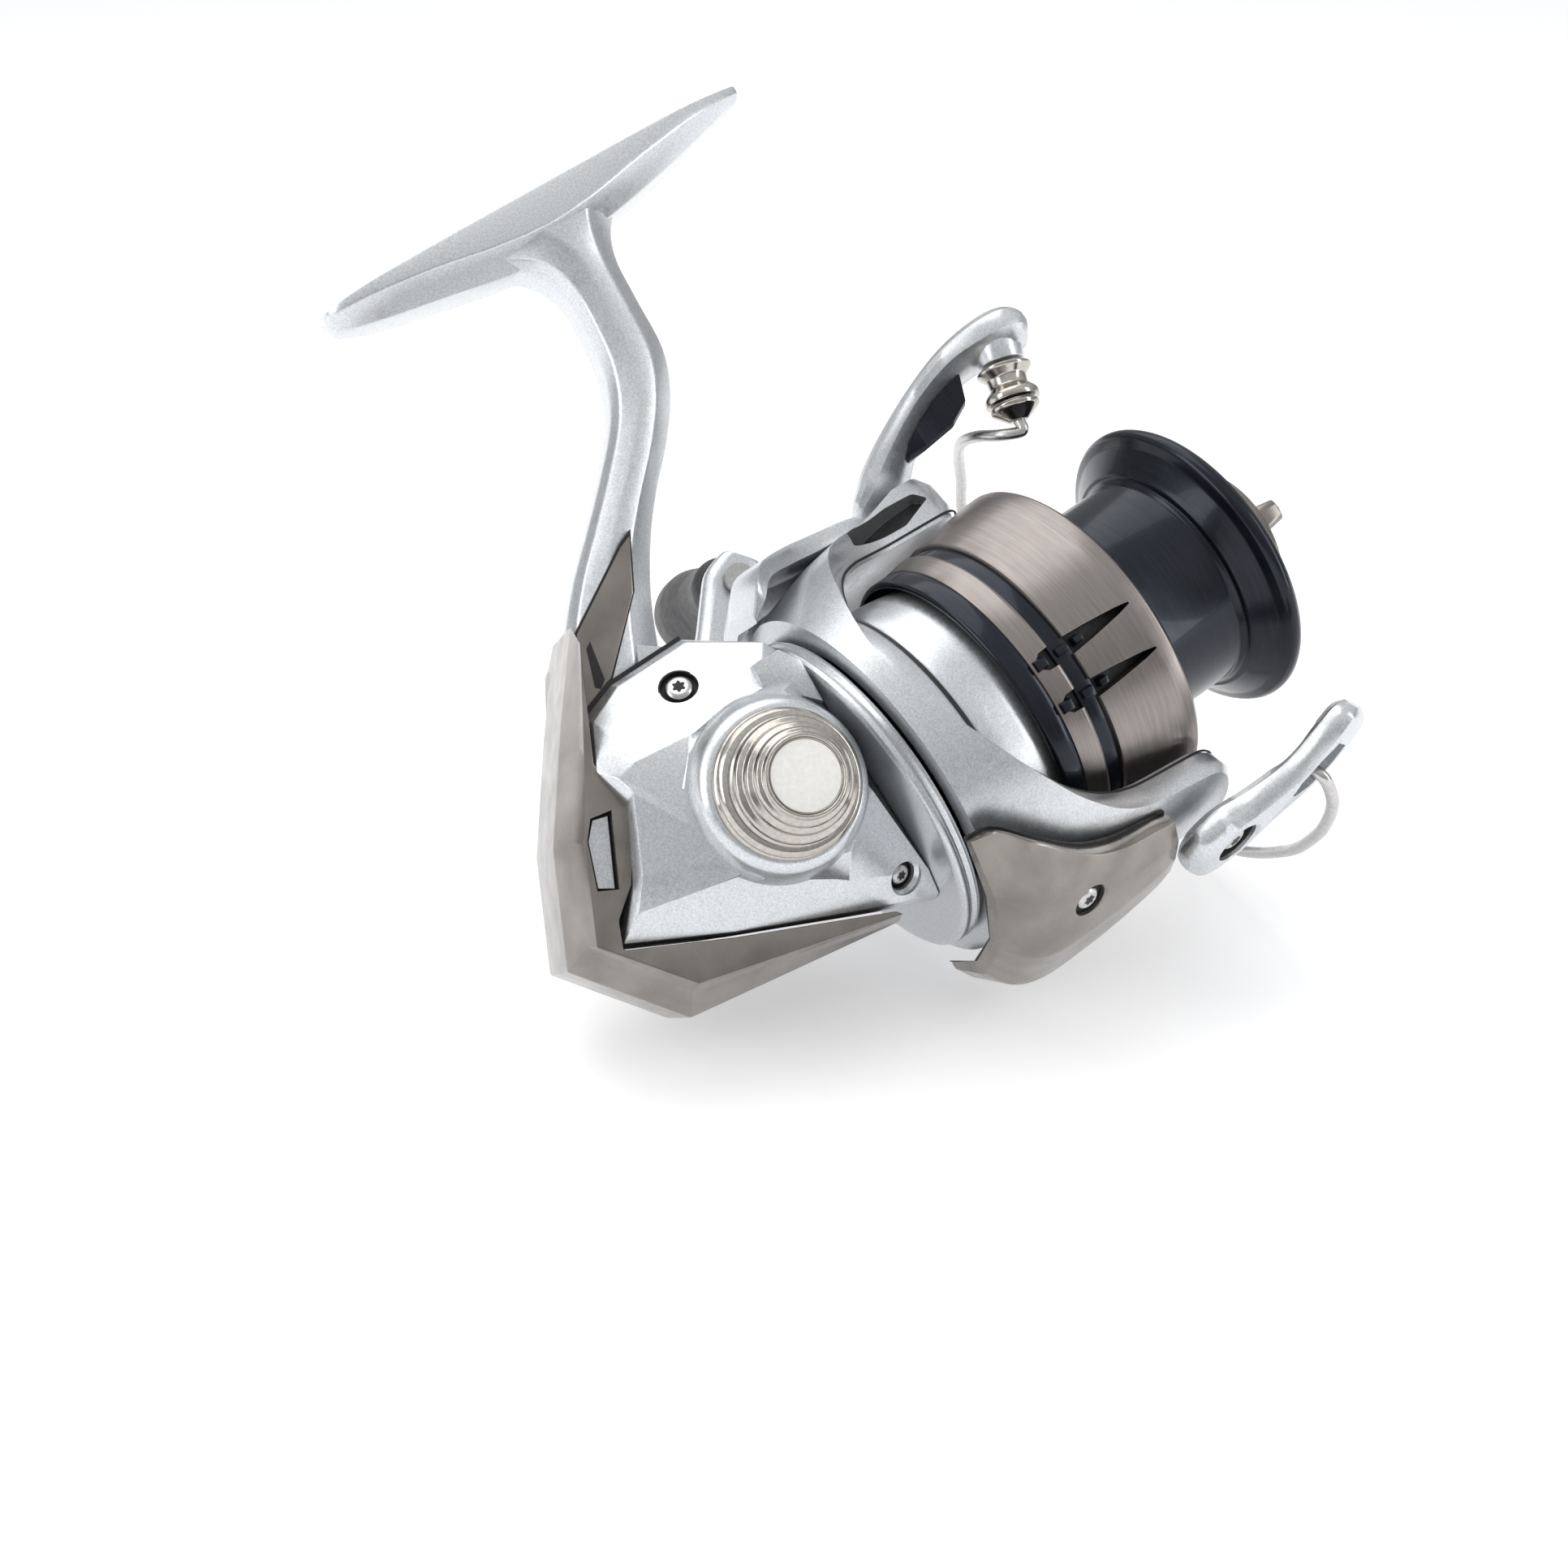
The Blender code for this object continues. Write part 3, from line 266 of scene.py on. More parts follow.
def rounded(points, radius, steps=3, closed=True):
    """The points with each corner eased by a curve that starts `radius` before it."""
    points = [Vector(p) for p in points]
    eased = []
    for i, corner in enumerate(points):
        if not closed and i in (0, len(points) - 1):
            eased.append(corner)
            continue
        before, after = points[i - 1], points[(i + 1) % len(points)]
        start, end = toward(corner, before, radius), toward(corner, after, radius)
        for step in range(steps + 1):
            t = step / steps
            eased.append((1 - t) ** 2 * start + 2 * t * (1 - t) * corner + t * t * end)
    return eased


def between(rows, spans):
    """More rows of points, on Catmull-Rom curves through the given rows."""
    rows = [[Vector(p) for p in row] for row in rows]
    first = [2 * a - b for a, b in zip(rows[0], rows[1])]
    last = [2 * a - b for a, b in zip(rows[-1], rows[-2])]
    padded = [first, *rows, last]
    filled = []
    for a, b, c, d in zip(padded, padded[1:], padded[2:], padded[3:]):
        for step in range(spans):
            t = step / spans
            filled.append(
                [
                    0.5 * (2 * q + (r - p) * t + (2 * p - 5 * q + 4 * r - s) * t**2)
                    + 0.5 * (3 * q - p - 3 * r + s) * t**3
                    for p, q, r, s in zip(a, b, c, d)
                ]
            )
    filled.append(rows[-1])
    return filled


def skin(rows, round_rows=False):
    """A closed surface through rows of points: capped at both ends, or joined into a ring."""
    bm = bmesh.new()
    layers = [[bm.verts.new(reel(p)) for p in row] for row in rows]
    pairs = list(zip(layers, layers[1:]))
    if round_rows:
        pairs.append((layers[-1], layers[0]))
    count = len(layers[0])
    for lower, upper in pairs:
        for i in range(count):
            j = (i + 1) % count
            bm.faces.new((lower[i], lower[j], upper[j], upper[i]))
    if not round_rows:
        bm.faces.new(layers[0])
        bm.faces.new(layers[-1])
    bmesh.ops.remove_doubles(bm, verts=bm.verts, dist=1e-7)
    bmesh.ops.recalc_face_normals(bm, faces=bm.faces)
    return bm


def mesh_of(name, bm):
    mesh = bpy.data.meshes.new(name)
    bm.to_mesh(mesh)
    bm.free()
    return mesh


def placed(name, data):
    """A new object in the scene."""
    obj = bpy.data.objects.new(name, data)
    bpy.context.scene.collection.objects.link(obj)
    return obj


def piece(name, bm, finish, body, stands_for=(), sharp=32):
    """Makes a piece from a mesh, on its body and with its finish's look."""
    look, slot = finish
    mesh = mesh_of(name, bm)
    mesh.materials.append(look)
    mesh.shade_smooth()
    mesh.set_sharp_from_angle(angle=math.radians(sharp))
    obj = placed(name, mesh)
    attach(obj, body)
    if stands_for:
        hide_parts(*stands_for)
    return obj


def swept(outline, at, axis, steps):
    """An outline of (radius, distance along the axis), turned all the way round."""
    place = facing(at, axis)
    rows = []
    for i in range(steps):
        turn = 2 * math.pi * i / steps
        rows.append(
            [place @ Vector((p.x * math.cos(turn), p.x * math.sin(turn), p.y)) for p in outline]
        )
    return skin(rows, round_rows=True)


def turned_mesh(profile, at, axis, ease=0.25, steps=96):
    """A turned shape whose profile starts and ends on the axis, with its edges eased."""
    outline = rounded([(r, h, 0.0) for r, h in profile], ease, 3, closed=False)
    return swept(outline, at, axis, steps)


def ring_mesh(profile, at, axis, ease=0.2, steps=128):
    """A turned shape with a bore, from a closed profile."""
    return swept(rounded([(r, h, 0.0) for r, h in profile], ease, 2), at, axis, steps)


def cut_by(obj, *cutters):
    """Cuts shapes out of a piece and applies the result."""
    for bm in cutters:
        other = placed("cutter", mesh_of("cutter", bm))
        modifier = obj.modifiers.new("cut", "BOOLEAN")
        modifier.operation = "DIFFERENCE"
        modifier.object = other
        with bpy.context.temp_override(object=obj, active_object=obj):
            bpy.ops.object.modifier_apply(modifier=modifier.name)
        bpy.data.objects.remove(other, do_unlink=True)


def round_spool(degrees):
    """The ways out from the spool axis and on round it, at a turn from the handle side."""
    turn = math.radians(degrees)
    out = Vector((0.0, math.cos(turn), math.sin(turn)))
    return out, Vector((0.0, -math.sin(turn), math.cos(turn)))


def round_arms(degrees):
    """The way out from the spool axis, at a turn from the upper arm."""
    turn = math.radians(degrees)
    return ARM_UP * math.cos(turn) + ARM_SIDE * math.sin(turn)


def arm_at(x, across, height):
    """A point by the bail pivot: along the spool axis, across the arms, out along them."""
    return X_AXIS * x + ARM_SIDE * across + ARM_UP * height


def side_row(outline, y):
    """A flat outline of (x, z) points at one width."""
    return [(x, y, z) for x, z in outline]


def slab(outline, y_low, y_high):
    """A plate with a flat outline of (x, z) points, between two widths."""
    return skin([side_row(outline, y_low), side_row(outline, y_high)])


def box(low, high):
    corners = ((low[0], low[1]), (high[0], low[1]), (high[0], high[1]), (low[0], high[1]))
    return skin([[(x, y, z) for x, y in corners] for z in (low[2], high[2])])


def softened(bm, width, least=14):
    """Breaks the edges that turn by more than `least` degrees."""
    bend = math.radians(least)
    edges = [e for e in bm.edges if len(e.link_faces) == 2 and e.calc_face_angle() > bend]
    bmesh.ops.bevel(
        bm,
        geom=edges,
        offset=width * MM,
        segments=2,
        profile=0.6,
        affect="EDGES",
        clamp_overlap=True,
    )
    bmesh.ops.recalc_face_normals(bm, faces=bm.faces)
    return bm


def merged(*shapes):
    """Several closed shapes in one mesh."""
    whole = bmesh.new()
    for bm in shapes:
        mesh = mesh_of("shape", bm)
        whole.from_mesh(mesh)
        bpy.data.meshes.remove(mesh)
    return whole


def bar(points, radius, sides):
    """A round wire through points, with its ends closed."""
    points = [Vector(p) for p in points]
    rows = []
    up = None
    for i, point in enumerate(points):
        run = points[min(i + 1, len(points) - 1)] - points[max(i - 1, 0)]
        run.normalize()
        if up is None:
            up = run.orthogonal().normalized()
        up = (up - run * up.dot(run)).normalized()
        side = run.cross(up)
        turns = [2 * math.pi * k / sides for k in range(sides)]
        rows.append([point + (up * math.cos(t) + side * math.sin(t)) * radius for t in turns])
    return skin(rows)


def curve_through(knots, spans):
    """More points, on a smooth curve through the knots."""
    return [row[0] for row in between([[knot] for knot in knots], spans)]


def star(at, axis, radius, depth, points=6):
    """A thin six-lobed plate of painted shade that stands for the socket in a screw's head."""
    place = facing(at, axis)
    rows = []
    for height in (depth, -depth):
        row = []
        for i in range(points * 8):
            turn = 2 * math.pi * i / (points * 8)
            reach = radius * (0.84 + 0.16 * math.cos(points * turn))
            row.append(place @ Vector((reach * math.cos(turn), reach * math.sin(turn), height)))
        rows.append(row)
    return skin(rows)


def torx_screw(name, at, axis, radius, body, stands_for=()):
    """A steel screw's head, with its six-lobed socket shown by a plate of painted shade."""
    at, axis = Vector(at), Vector(axis).normalized()
    head = [(0.0, 0.0), (radius * 0.72, 0.0), (radius, -0.35), (radius, -1.6), (0.0, -1.6)]
    piece(name, turned_mesh(head, at, axis, 0.2, 48), STEEL, body, stands_for)
    # The socket is painted shade: a dark plate on the head, with no hole cut.
    piece(name + "_socket", star(at, axis, radius * 0.5, 0.02), DARK_JOINTS_AND_SHADE, body)


def sink(obj, name, at, axis, radius, depth, body):
    """Cuts a round well into a piece and lines its floor and its wall with painted shade."""
    at, axis = Vector(at), Vector(axis).normalized()
    mouth = radius + 0.5
    cutter = [(0.0, 6.0), (mouth, 6.0), (mouth, 0.5), (radius, 0.0), (radius, -depth), (0.0, -depth)]
    cut_by(obj, turned_mesh(cutter, at, axis, 0.02, 64))
    inner, outer = radius - 0.12, radius + 0.12
    top, bottom = -depth + 0.15, -depth - 0.2
    # A lining of painted shade over the well's floor and wall.
    well = [(0.0, top), (inner, top), (inner, -0.5), (outer, -0.5), (outer, bottom), (0.0, bottom)]
    piece(name, turned_mesh(well, at, axis, 0.02, 64), DARK_JOINTS_AND_SHADE, body)


# ---------------------------------------------------------------- body


# Stem sections, body to foot: rear edge (x, z), front edge (x, z), half width.
STEM = [
    ((-14.4, 33.6), (1.0, 32.0), 7.0),
    ((-9.4, 40.9), (4.8, 39.6), 6.8),
    ((-3.9, 46.8), (9.6, 46.6), 6.5),
    ((1.6, 51.6), (14.4, 52.0), 6.2),
    ((7.9, 57.2), (19.6, 57.0), 6.0),
    ((13.8, 63.2), (24.0, 62.4), 5.9),
    ((17.0, 69.3), (26.8, 68.4), 5.8),
    ((18.3, 76.0), (27.6, 76.5), 5.9),
    ((18.4, 82.0), (28.4, 83.0), 6.2),
    ((15.6, 86.8), (31.0, 87.6), 6.8),
    ((9.0, 90.0), (36.0, 90.6), 7.0),
]
# Foot sections: x, half width, height of the side face, depth of the keel.
FOOT = [
    (-12.1, 2.0, 0.9, 1.6),
    (-11.4, 3.4, 1.1, 2.6),
    (-9.0, 5.0, 1.3, 3.6),
    (-4.0, 6.5, 1.9, 4.8),
    (4.0, 7.3, 3.0, 6.2),
    (12.0, 7.5, 4.4, 7.6),
    (20.0, 7.5, 5.2, 8.3),
    (28.0, 7.5, 4.8, 8.0),
    (38.0, 7.4, 3.2, 6.4),
    (47.0, 6.9, 2.1, 4.4),
    (54.0, 5.2, 1.5, 2.6),
    (57.3, 3.8, 1.2, 1.9),
    (58.0, 2.6, 1.0, 1.5),
]


def stem_row(rear, front, half):
    """One section of the stem: (share from rear to front, share of the half width) pairs."""
    rear, front = Vector((rear[0], 0.0, rear[1])), Vector((front[0], 0.0, front[1]))
    shares = ((0.0, 0.40), (0.10, 0.78), (0.38, 1.0), (0.68, 0.93), (1.0, 0.34))
    near = [rear.lerp(front, share) - Y_AXIS * half * width for share, width in shares]
    far = [Vector((p.x, -p.y, p.z)) for p in reversed(near)]
    return rounded(near + far, 0.45, 2)


def foot_row(x, half, edge, depth):
    side = [(half, 0.0), (half, edge), (half * 0.45, depth)]
    near = [(x, -y, SEAT_Z - drop) for y, drop in side]
    far = [(x, y, SEAT_Z - drop) for y, drop in reversed(side)]
    return rounded(near + far, 0.3, 2)


# The body's side outline where the halves meet, and round the flat of the handle side.
BODY_OUTLINE = [
    (14.5, 22.0), (4.0, 31.0), (-8.0, 39.5), (-17.7, 24.5), (-16.5, 17.0), (-22.5, 8.5),
    (-26.6, 5.5), (-28.2, 2.5), (-15.0, -4.5), (5.0, -14.0), (14.5, -18.0),
]
BODY_FLAT = [
    (14.5, 19.0), (0.0, 21.6), (-9.0, 22.6), (-17.2, 22.0), (-16.0, 16.0), (-20.5, 9.5),
    (-23.5, 7.5), (-24.0, 5.5), (-12.0, -4.5), (4.0, -12.5), (14.5, -17.2),
]


def boss_profile(outer):
    """The round boss about the handle axle's bore."""
    rim = [(outer - 1.4, 22.0), (outer - 0.3, 21.0), (outer + 1.2, 16.5)]
    return [(BORE, 22.0), *rim, (BORE, 16.5)]


def gear_room(y_low, y_high):
    """What the drive needs: the gear's round room, and the axle's bore out to one side."""
    reach = max(abs(y_low), abs(y_high))
    side = Y_AXIS * (1 if abs(y_high) > abs(y_low) else -1)
    low, high = sorted((y_low * side.y, y_high * side.y))
    wall, past = high - 4.0, reach + 6.0
    room = [(0.0, wall), (GEAR_ROOM, wall), (GEAR_ROOM, low), (0.0, low)]
    bore = [(0.0, past), (BORE, past), (BORE, low), (0.0, low)]
    return turned_mesh(room, AXLE, side, 0.02), turned_mesh(bore, AXLE, side, 0.02)


FLANGE = [
    (5.2, 20.2), (14.5, 20.2), (15.2, 16.6), (22.8, 16.4), (23.6, 15.6), (24.2, 16.2),
    (25.0, 16.1), (25.2, 15.5), (24.6, 14.95), (25.2, 14.4), (25.1, 13.6), (24.2, 13.3),
    (5.2, 13.3),
]


def hollow_casting(casting):
    """Clears the casting round the gears, the slider, the worm and the main shaft."""
    cut_by(casting, *gear_room(-8.0, 17.2))
    cut_by(casting, box((-15.4, -8.0, -2.8), (12.4, 13.8, 7.0)))
    cut_by(casting, box((6.4, 4.0, -6.2), (10.8, 16.4, 6.2)))
    shaft = [(0.0, 16.0), (5.2, 16.0), (5.2, 4.0), (0.0, 4.0)]
    cut_by(casting, turned_mesh(shaft, CENTRE, X_AXIS, 0.02))


def main_frame():
    """The handle side's casting, the stem with its foot, and the front flange with the boss."""
    sides = ((BODY_OUTLINE, -6.0), (BODY_OUTLINE, 8.0), (BODY_FLAT, 18.9))
    half = skin([side_row(outline, y) for outline, y in sides])
    stem = skin(between([stem_row(*section) for section in STEM], 5))
    foot = skin(between([foot_row(*section) for section in FOOT], 4))
    collar = ring_mesh(FLANGE, CENTRE, X_AXIS, 0.2)
    boss = ring_mesh(boss_profile(12.0), AXLE, Y_AXIS, 0.4)
    look = (SILVER, "frame", ("main_frame",))
    casting = piece("body_casting", softened(half, 0.6), *look, sharp=30)
    hollow_casting(casting)
    piece("body_stem", merged(stem, foot), *look, sharp=30)
    piece("body_flange", merged(collar, boss), *look, sharp=30)


# The cover's facets in rings: its rim, its shoulder, and the foot of the bearing boss.
COVER_RIM = [
    (13.2, 22.6), (11.6, 26.6), (3.0, 32.3), (-8.6, 32.3), (-14.6, 30.4), (-18.6, 23.8),
    (-17.2, 17.2), (-22.6, 8.6), (-28.2, 2.6), (-15.0, -4.6), (5.0, -14.0), (13.2, -17.4),
]
COVER_EDGE = [
    (13.2, -12.6, 22.0), (11.4, -12.4, 25.8), (3.0, -9.8, 31.6), (-8.5, -9.8, 31.6),
    (-14.4, -11.2, 29.4), (-18.5, -14.4, 23.6), (-17.5, -15.6, 18.0), (-22.8, -14.8, 8.8),
    (-28.0, -12.9, 2.9), (-14.8, -13.6, -4.2), (5.0, -12.4, -13.4), (13.2, -10.8, -16.6),
]
COVER_SHOULDER = [
    (13.2, -14.2, 19.6), (6.0, -16.6, 20.7), (-0.5, -17.8, 21.0), (-6.0, -17.8, 21.0),
    (-13.6, -16.8, 21.9), (-16.8, -16.2, 21.4), (-16.6, -17.2, 18.8), (-21.6, -16.6, 9.0),
    (-24.6, -15.2, 5.2), (-13.2, -17.4, 4.6), (2.0, -15.6, -7.4), (13.2, -12.6, -13.0),
]
# Where the facets meet the boss, in degrees round the handle axle.
BOSS_TURNS = (52, 68, 100, 128, 148, 163, 172, 196, 212, 222, 285, 325)


def cover_shell():
    """The faceted shell of the side cover, from its rim up to the boss."""
    foot = []
    for degrees in BOSS_TURNS:
        turn = math.radians(degrees)
        foot.append((13.0 * math.cos(turn), -18.6, AXLE_Z + 13.0 * math.sin(turn)))
    top = [(x * 0.5, -18.8, AXLE_Z + (z - AXLE_Z) * 0.5) for x, _, z in foot]
    rim = [side_row(COVER_RIM, -6.3), side_row(COVER_RIM, -8.4)]
    return softened(skin([*rim, COVER_EDGE, COVER_SHOULDER, foot, top]), 0.35, least=9)


def recessed_screw(host, names, at, lean, radii, depth, stands_for):
    """A screw on the body, a little below the mouth of its own well, which is lined with painted shade."""
    at, lean = Vector(at), Vector(lean)
    sink(host, names[0], at, lean, radii[0], depth, "frame")
    torx_screw(names[1], at - lean * 0.2, lean, radii[1], "frame", (stands_for,))


def side_cover():
    shell = cover_shell()
    boss = ring_mesh(boss_profile(11.9), AXLE, -Y_AXIS, 0.4)
    tab = [(7.0, 24.0), (11.2, 24.0), (13.1, 21.2), (12.6, 14.4), (8.4, 18.9), (6.2, 20.6)]
    lug = softened(slab(tab, -12.0, -16.6), 0.5)
    look = (SILVER, "frame", ("side_cover",))
    cover = piece("side_cover_fine", shell, *look, sharp=24)
    piece("cover_boss", merged(boss, lug), *look, sharp=30)
    cut_by(cover, *gear_room(-15.0, -5.0))
    seam = [(-19.2, 24.0), (-15.0, 31.0), (-8.6, 32.9), (3.2, 32.9), (3.0, 31.0), (-14.0, 28.0)]
    piece("cover_seam", slab(seam, -6.6, -7.9), DARK_JOINTS_AND_SHADE, "frame")
    names = ("cover_recess_shade", "cover_screw_fine")
    at, lean = (-2.4, -13.6, 27.2), (0.0, -0.86, 0.5)
    recessed_screw(cover, names, at, lean, (2.7, 1.9), 1.6, "cover_screw_top")
    names = ("front_recess_shade", "front_screw_fine")
    at, lean = (9.4, -12.9, -11.4), (0.1, -0.8, -0.6)
    recessed_screw(cover, names, at, lean, (2.1, 1.5), 1.4, "cover_screw_front")


# The cap over the handle's bore, as (radius, distance from the spool's plane).
CAP_RING = [
    (8.4, 24.6), (9.3, 24.5), (9.9, 23.8), (9.9, 23.3), (9.6, 23.1), (10.1, 22.7),
    (10.2, 22.0), (7.0, 22.0), (7.0, 24.4),
]
CAP_STEPS = [
    (0.0, 30.6), (4.9, 30.6), (5.1, 31.1), (5.5, 31.0), (5.7, 30.3), (6.3, 30.0),
    (6.6, 29.2), (6.4, 28.9), (7.2, 28.4), (7.4, 27.4), (8.2, 27.0), (8.5, 26.2),
    (8.2, 25.8), (8.7, 25.3), (8.6, 24.4), (6.8, 24.2), (0.0, 24.2),
]
KNURLS = 72


def end_cap():
    """The stepped nickel cap over the handle's bore, with a satin face and a knurled ring whose grooves are
    painted shade.
    """
    collar = ring_mesh(CAP_RING, AXLE, -Y_AXIS, 0.15)
    piece("cap_ring_fine", collar, NICKEL, "frame", ("cap_ring",))
    cap = turned_mesh(CAP_STEPS, AXLE, -Y_AXIS, 0.18, 128)
    piece("handle_cap_fine", cap, NICKEL, "frame", ("handle_cap",), sharp=40)
    disc = [(0.0, 30.75), (4.7, 30.75), (4.7, 30.4), (0.0, 30.4)]
    piece("cap_face", turned_mesh(disc, AXLE, -Y_AXIS, 0.05), FACE, "frame")
    # The knurl's grooves, as thin bars of painted shade.
    marks = []
    for i in range(KNURLS):
        turn = 2 * math.pi * i / KNURLS
        spot = AXLE - Y_AXIS * 23.5
        out = Vector((math.cos(turn), 0.0, math.sin(turn)))
        start = spot + out * 9.75 + Y_AXIS * 0.25
        marks.append(bar([start, start - Y_AXIS * 0.5], 0.11, 6))
    piece("cap_knurl_shade", merged(*marks), DARK_JOINTS_AND_SHADE, "frame")


# The guard's outlines from its point by the stem round to its toe, and back along the body.
GUARD_OUTER = [
    (-8.5, 42.0), (-17.3, 31.5), (-27.6, 18.2), (-35.2, 3.6), (-24.8, -11.0), (7.5, -17.2),
]
GUARD_SIDE = [
    (-10.0, 39.6), (-17.9, 27.6), (-25.8, 17.8), (-31.9, 5.2), (-24.0, -7.6), (6.6, -15.8),
]
GUARD_EDGE = [
    (-10.6, 39.0), (-18.6, 26.4), (-25.0, 16.8), (-31.4, 4.6), (-22.8, -7.0), (6.2, -15.6),
]
GUARD_INNER = [
    (5.6, -14.7), (-15.0, -4.9), (-28.6, 2.3), (-27.0, 5.8), (-22.9, 8.8), (-16.9, 17.0),
    (-18.1, 24.6),
]
GUARD_WINDOW = [(-22.6, 19.0), (-19.6, 18.4), (-24.6, 9.2), (-27.2, 10.6), (-24.6, 16.8)]
GUARD_STRIP = [(-22.2, 18.6), (-20.2, 18.0), (-24.8, 9.6), (-26.6, 10.8), (-24.2, 16.6)]


def rear_guard():
    """The taupe guard round the body's rear, with a silver strip in a window whose depth is a plate of painted
    shade.
    """
    widths = ((GUARD_EDGE, 14.0), (GUARD_SIDE, 12.2), (GUARD_OUTER, 6.8))
    rows = [side_row(outline + GUARD_INNER, -y) for outline, y in widths]
    rows += [side_row(outline + GUARD_INNER, y) for outline, y in reversed(widths)]
    shell = softened(skin(rows), 0.4, least=8)
    guard = piece("rear_guard_fine", shell, TAUPE, "frame", ("rear_guard",), sharp=24)
    cut_by(guard, slab(GUARD_WINDOW, -9.0, -20.0))
    # Painted shade: a dark plate filling the window's depth behind the strip.
    piece("guard_window_shade", slab(GUARD_WINDOW, -8.6, -11.6), DARK_JOINTS_AND_SHADE, "frame")
    piece("guard_window_strip", slab(GUARD_STRIP, -9.0, -12.6), SILVER, "frame")
    screw_at, down = Vector((-27.4, -3.4, -5.2)), Vector((-0.6, -0.1, -0.78))
    torx_screw("guard_screw_fine", screw_at, down, 1.9, "frame", ("guard_screw",))


INLAY = [
    (5.6, 48.2), (3.4, 47.4), (-8.6, 40.6), (-14.9, 31.0), (-13.0, 29.8), (-8.0, 33.0),
    (1.4, 41.2),
]
INLAY_SLOT = [(-7.6, 38.8), (-8.6, 38.2), (-10.6, 33.2), (-10.0, 32.6), (-8.8, 33.4)]


def stem_inlays():
    """The pointed blades at the stem's root, each with a black outline, and a slot shown by a plate of painted
    shade.
    """
    middle = Vector((-5.4, 0.0, 39.4))
    rim = [(middle.x + (x - middle.x) * 1.05, middle.z + (z - middle.z) * 1.07) for x, z in INLAY]
    for name, side in (("right", -1), ("left", 1)):
        piece(f"inlay_line_{name}", slab(rim, side * 5.4, side * 7.15), DARK_JOINTS_AND_SHADE, "frame")
        blade = softened(slab(INLAY, side * 5.4, side * 7.5), 0.35)
        piece(f"stem_inlay_{name}_fine", blade, TAUPE, "frame", (f"stem_inlay_{name}",))
        # The slot is painted shade: a thin dark plate on the blade, with nothing cut.
        piece(f"inlay_slot_shade_{name}", slab(INLAY_SLOT, side * 7.2, side * 7.56), DARK_JOINTS_AND_SHADE, "frame")


# ---------------------------------------------------------------- rotor


# The rotor's front rim: degrees from the nearer arm, and how far forward the rim stands.
RIM = [
    (0.0, 57.4), (5.0, 57.2), (9.5, 56.4), (13.0, 54.4), (15.0, 50.2), (16.6, 46.0),
    (18.4, 42.2), (22.0, 38.4), (27.0, 35.0), (34.0, 31.5), (42.0, 28.6), (50.0, 26.2),
    (60.0, 23.8), (70.0, 21.8), (80.0, 20.4), (90.0, 19.9),
]
# The shell's radius along the spool axis, from its rear edge.
SHELL_REAR = 16.8
SHELL_ROOT = [(SHELL_REAR, 28.0), (20.5, 29.2), (24.4, 30.4), (28.4, 31.5), (34.9, 32.5)]
SHELL_OUTER = SHELL_ROOT + [(60.0, 32.7)]
# The upper arm stands taller toward its tip, under the roller lever.
SHELL_TALL = SHELL_ROOT + [(42.0, 33.2), (49.2, 35.4), (60.0, 35.8)]
SHELL_INNER = [(SHELL_REAR, 24.4), (20.5, 25.2), (24.4, 26.2), (28.4, 26.9), (34.9, 27.4), (60.0, 27.4)]


def read_off(table, value):
    """Straight-line reading between the rows of a table."""
    for (x0, y0), (x1, y1) in zip(table, table[1:]):
        if value <= x1:
            return y0 + (y1 - y0) * (value - x0) / (x1 - x0)
    return table[-1][1]


def rim_samples():
    """(degrees, distance forward) all round the rim, from the one quarter that RIM gives."""
    quarter = [(p.x, p.y) for p in curve_through([(a, x, 0.0) for a, x in RIM], 4)]
    back = [(180.0 - a, x) for a, x in reversed(quarter[1:-1])]
    half = quarter + back
    return half + [(a + 180.0, x) for a, x in half]


def rotor_shell():
    """The rotor's wall, which rises into its two arms."""
    rows = []
    for degrees, rim in rim_samples():
        out = round_arms(degrees)
        shares = (0.0, 0.2, 0.4, 0.6, 0.8, 0.97)
        along = [SHELL_REAR + (rim - SHELL_REAR) * share for share in shares]
        top = SHELL_TALL if math.cos(math.radians(degrees)) > 0.5 else SHELL_OUTER
        row = [X_AXIS * x + out * read_off(top, x) for x in along]
        high, low = read_off(top, rim), read_off(SHELL_INNER, rim)
        row.append(X_AXIS * rim + out * (high * 0.75 + low * 0.25))
        row.append(X_AXIS * rim + out * (high * 0.25 + low * 0.75))
        row += [X_AXIS * x + out * read_off(SHELL_INNER, x) for x in reversed(along)]
        rows.append(row)
    return skin(rows, round_rows=True)


def rim_line():
    """The thin black line along the front of the rim."""
    thick = 0.22
    rows = []
    for degrees, rim in rim_samples():
        out = round_arms(degrees)
        at = X_AXIS * (rim - 0.05) + out * (read_off(SHELL_INNER, rim) + 0.7)
        ring = [math.pi * k / 3 for k in range(6)]
        rows.append([at + X_AXIS * thick * math.cos(k) + out * thick * math.sin(k) for k in ring])
    return skin(rows, round_rows=True)


HUB = [
    (6.5, 37.6), (7.0, 36.2), (14.5, 36.2), (16.0, 42.2), (17.2, 42.6), (18.6, 41.8),
    (20.2, 39.4), (21.6, 36.0), (22.2, 32.0), (22.5, 28.6), (22.6, 26.4), (22.3, 26.1),
    (22.3, 25.4), (23.6, 25.2), (24.6, 22.4), (25.4, 19.0), (25.2, 17.4), (20.4, 19.4),
    (20.4, 33.0), (3.4, 33.0), (3.4, 37.6),
]
ARM_FLANK = [(37.0, 30.4), (46.0, 32.0), (51.6, 32.2), (53.4, 30.6), (47.2, 28.2), (36.4, 27.6)]


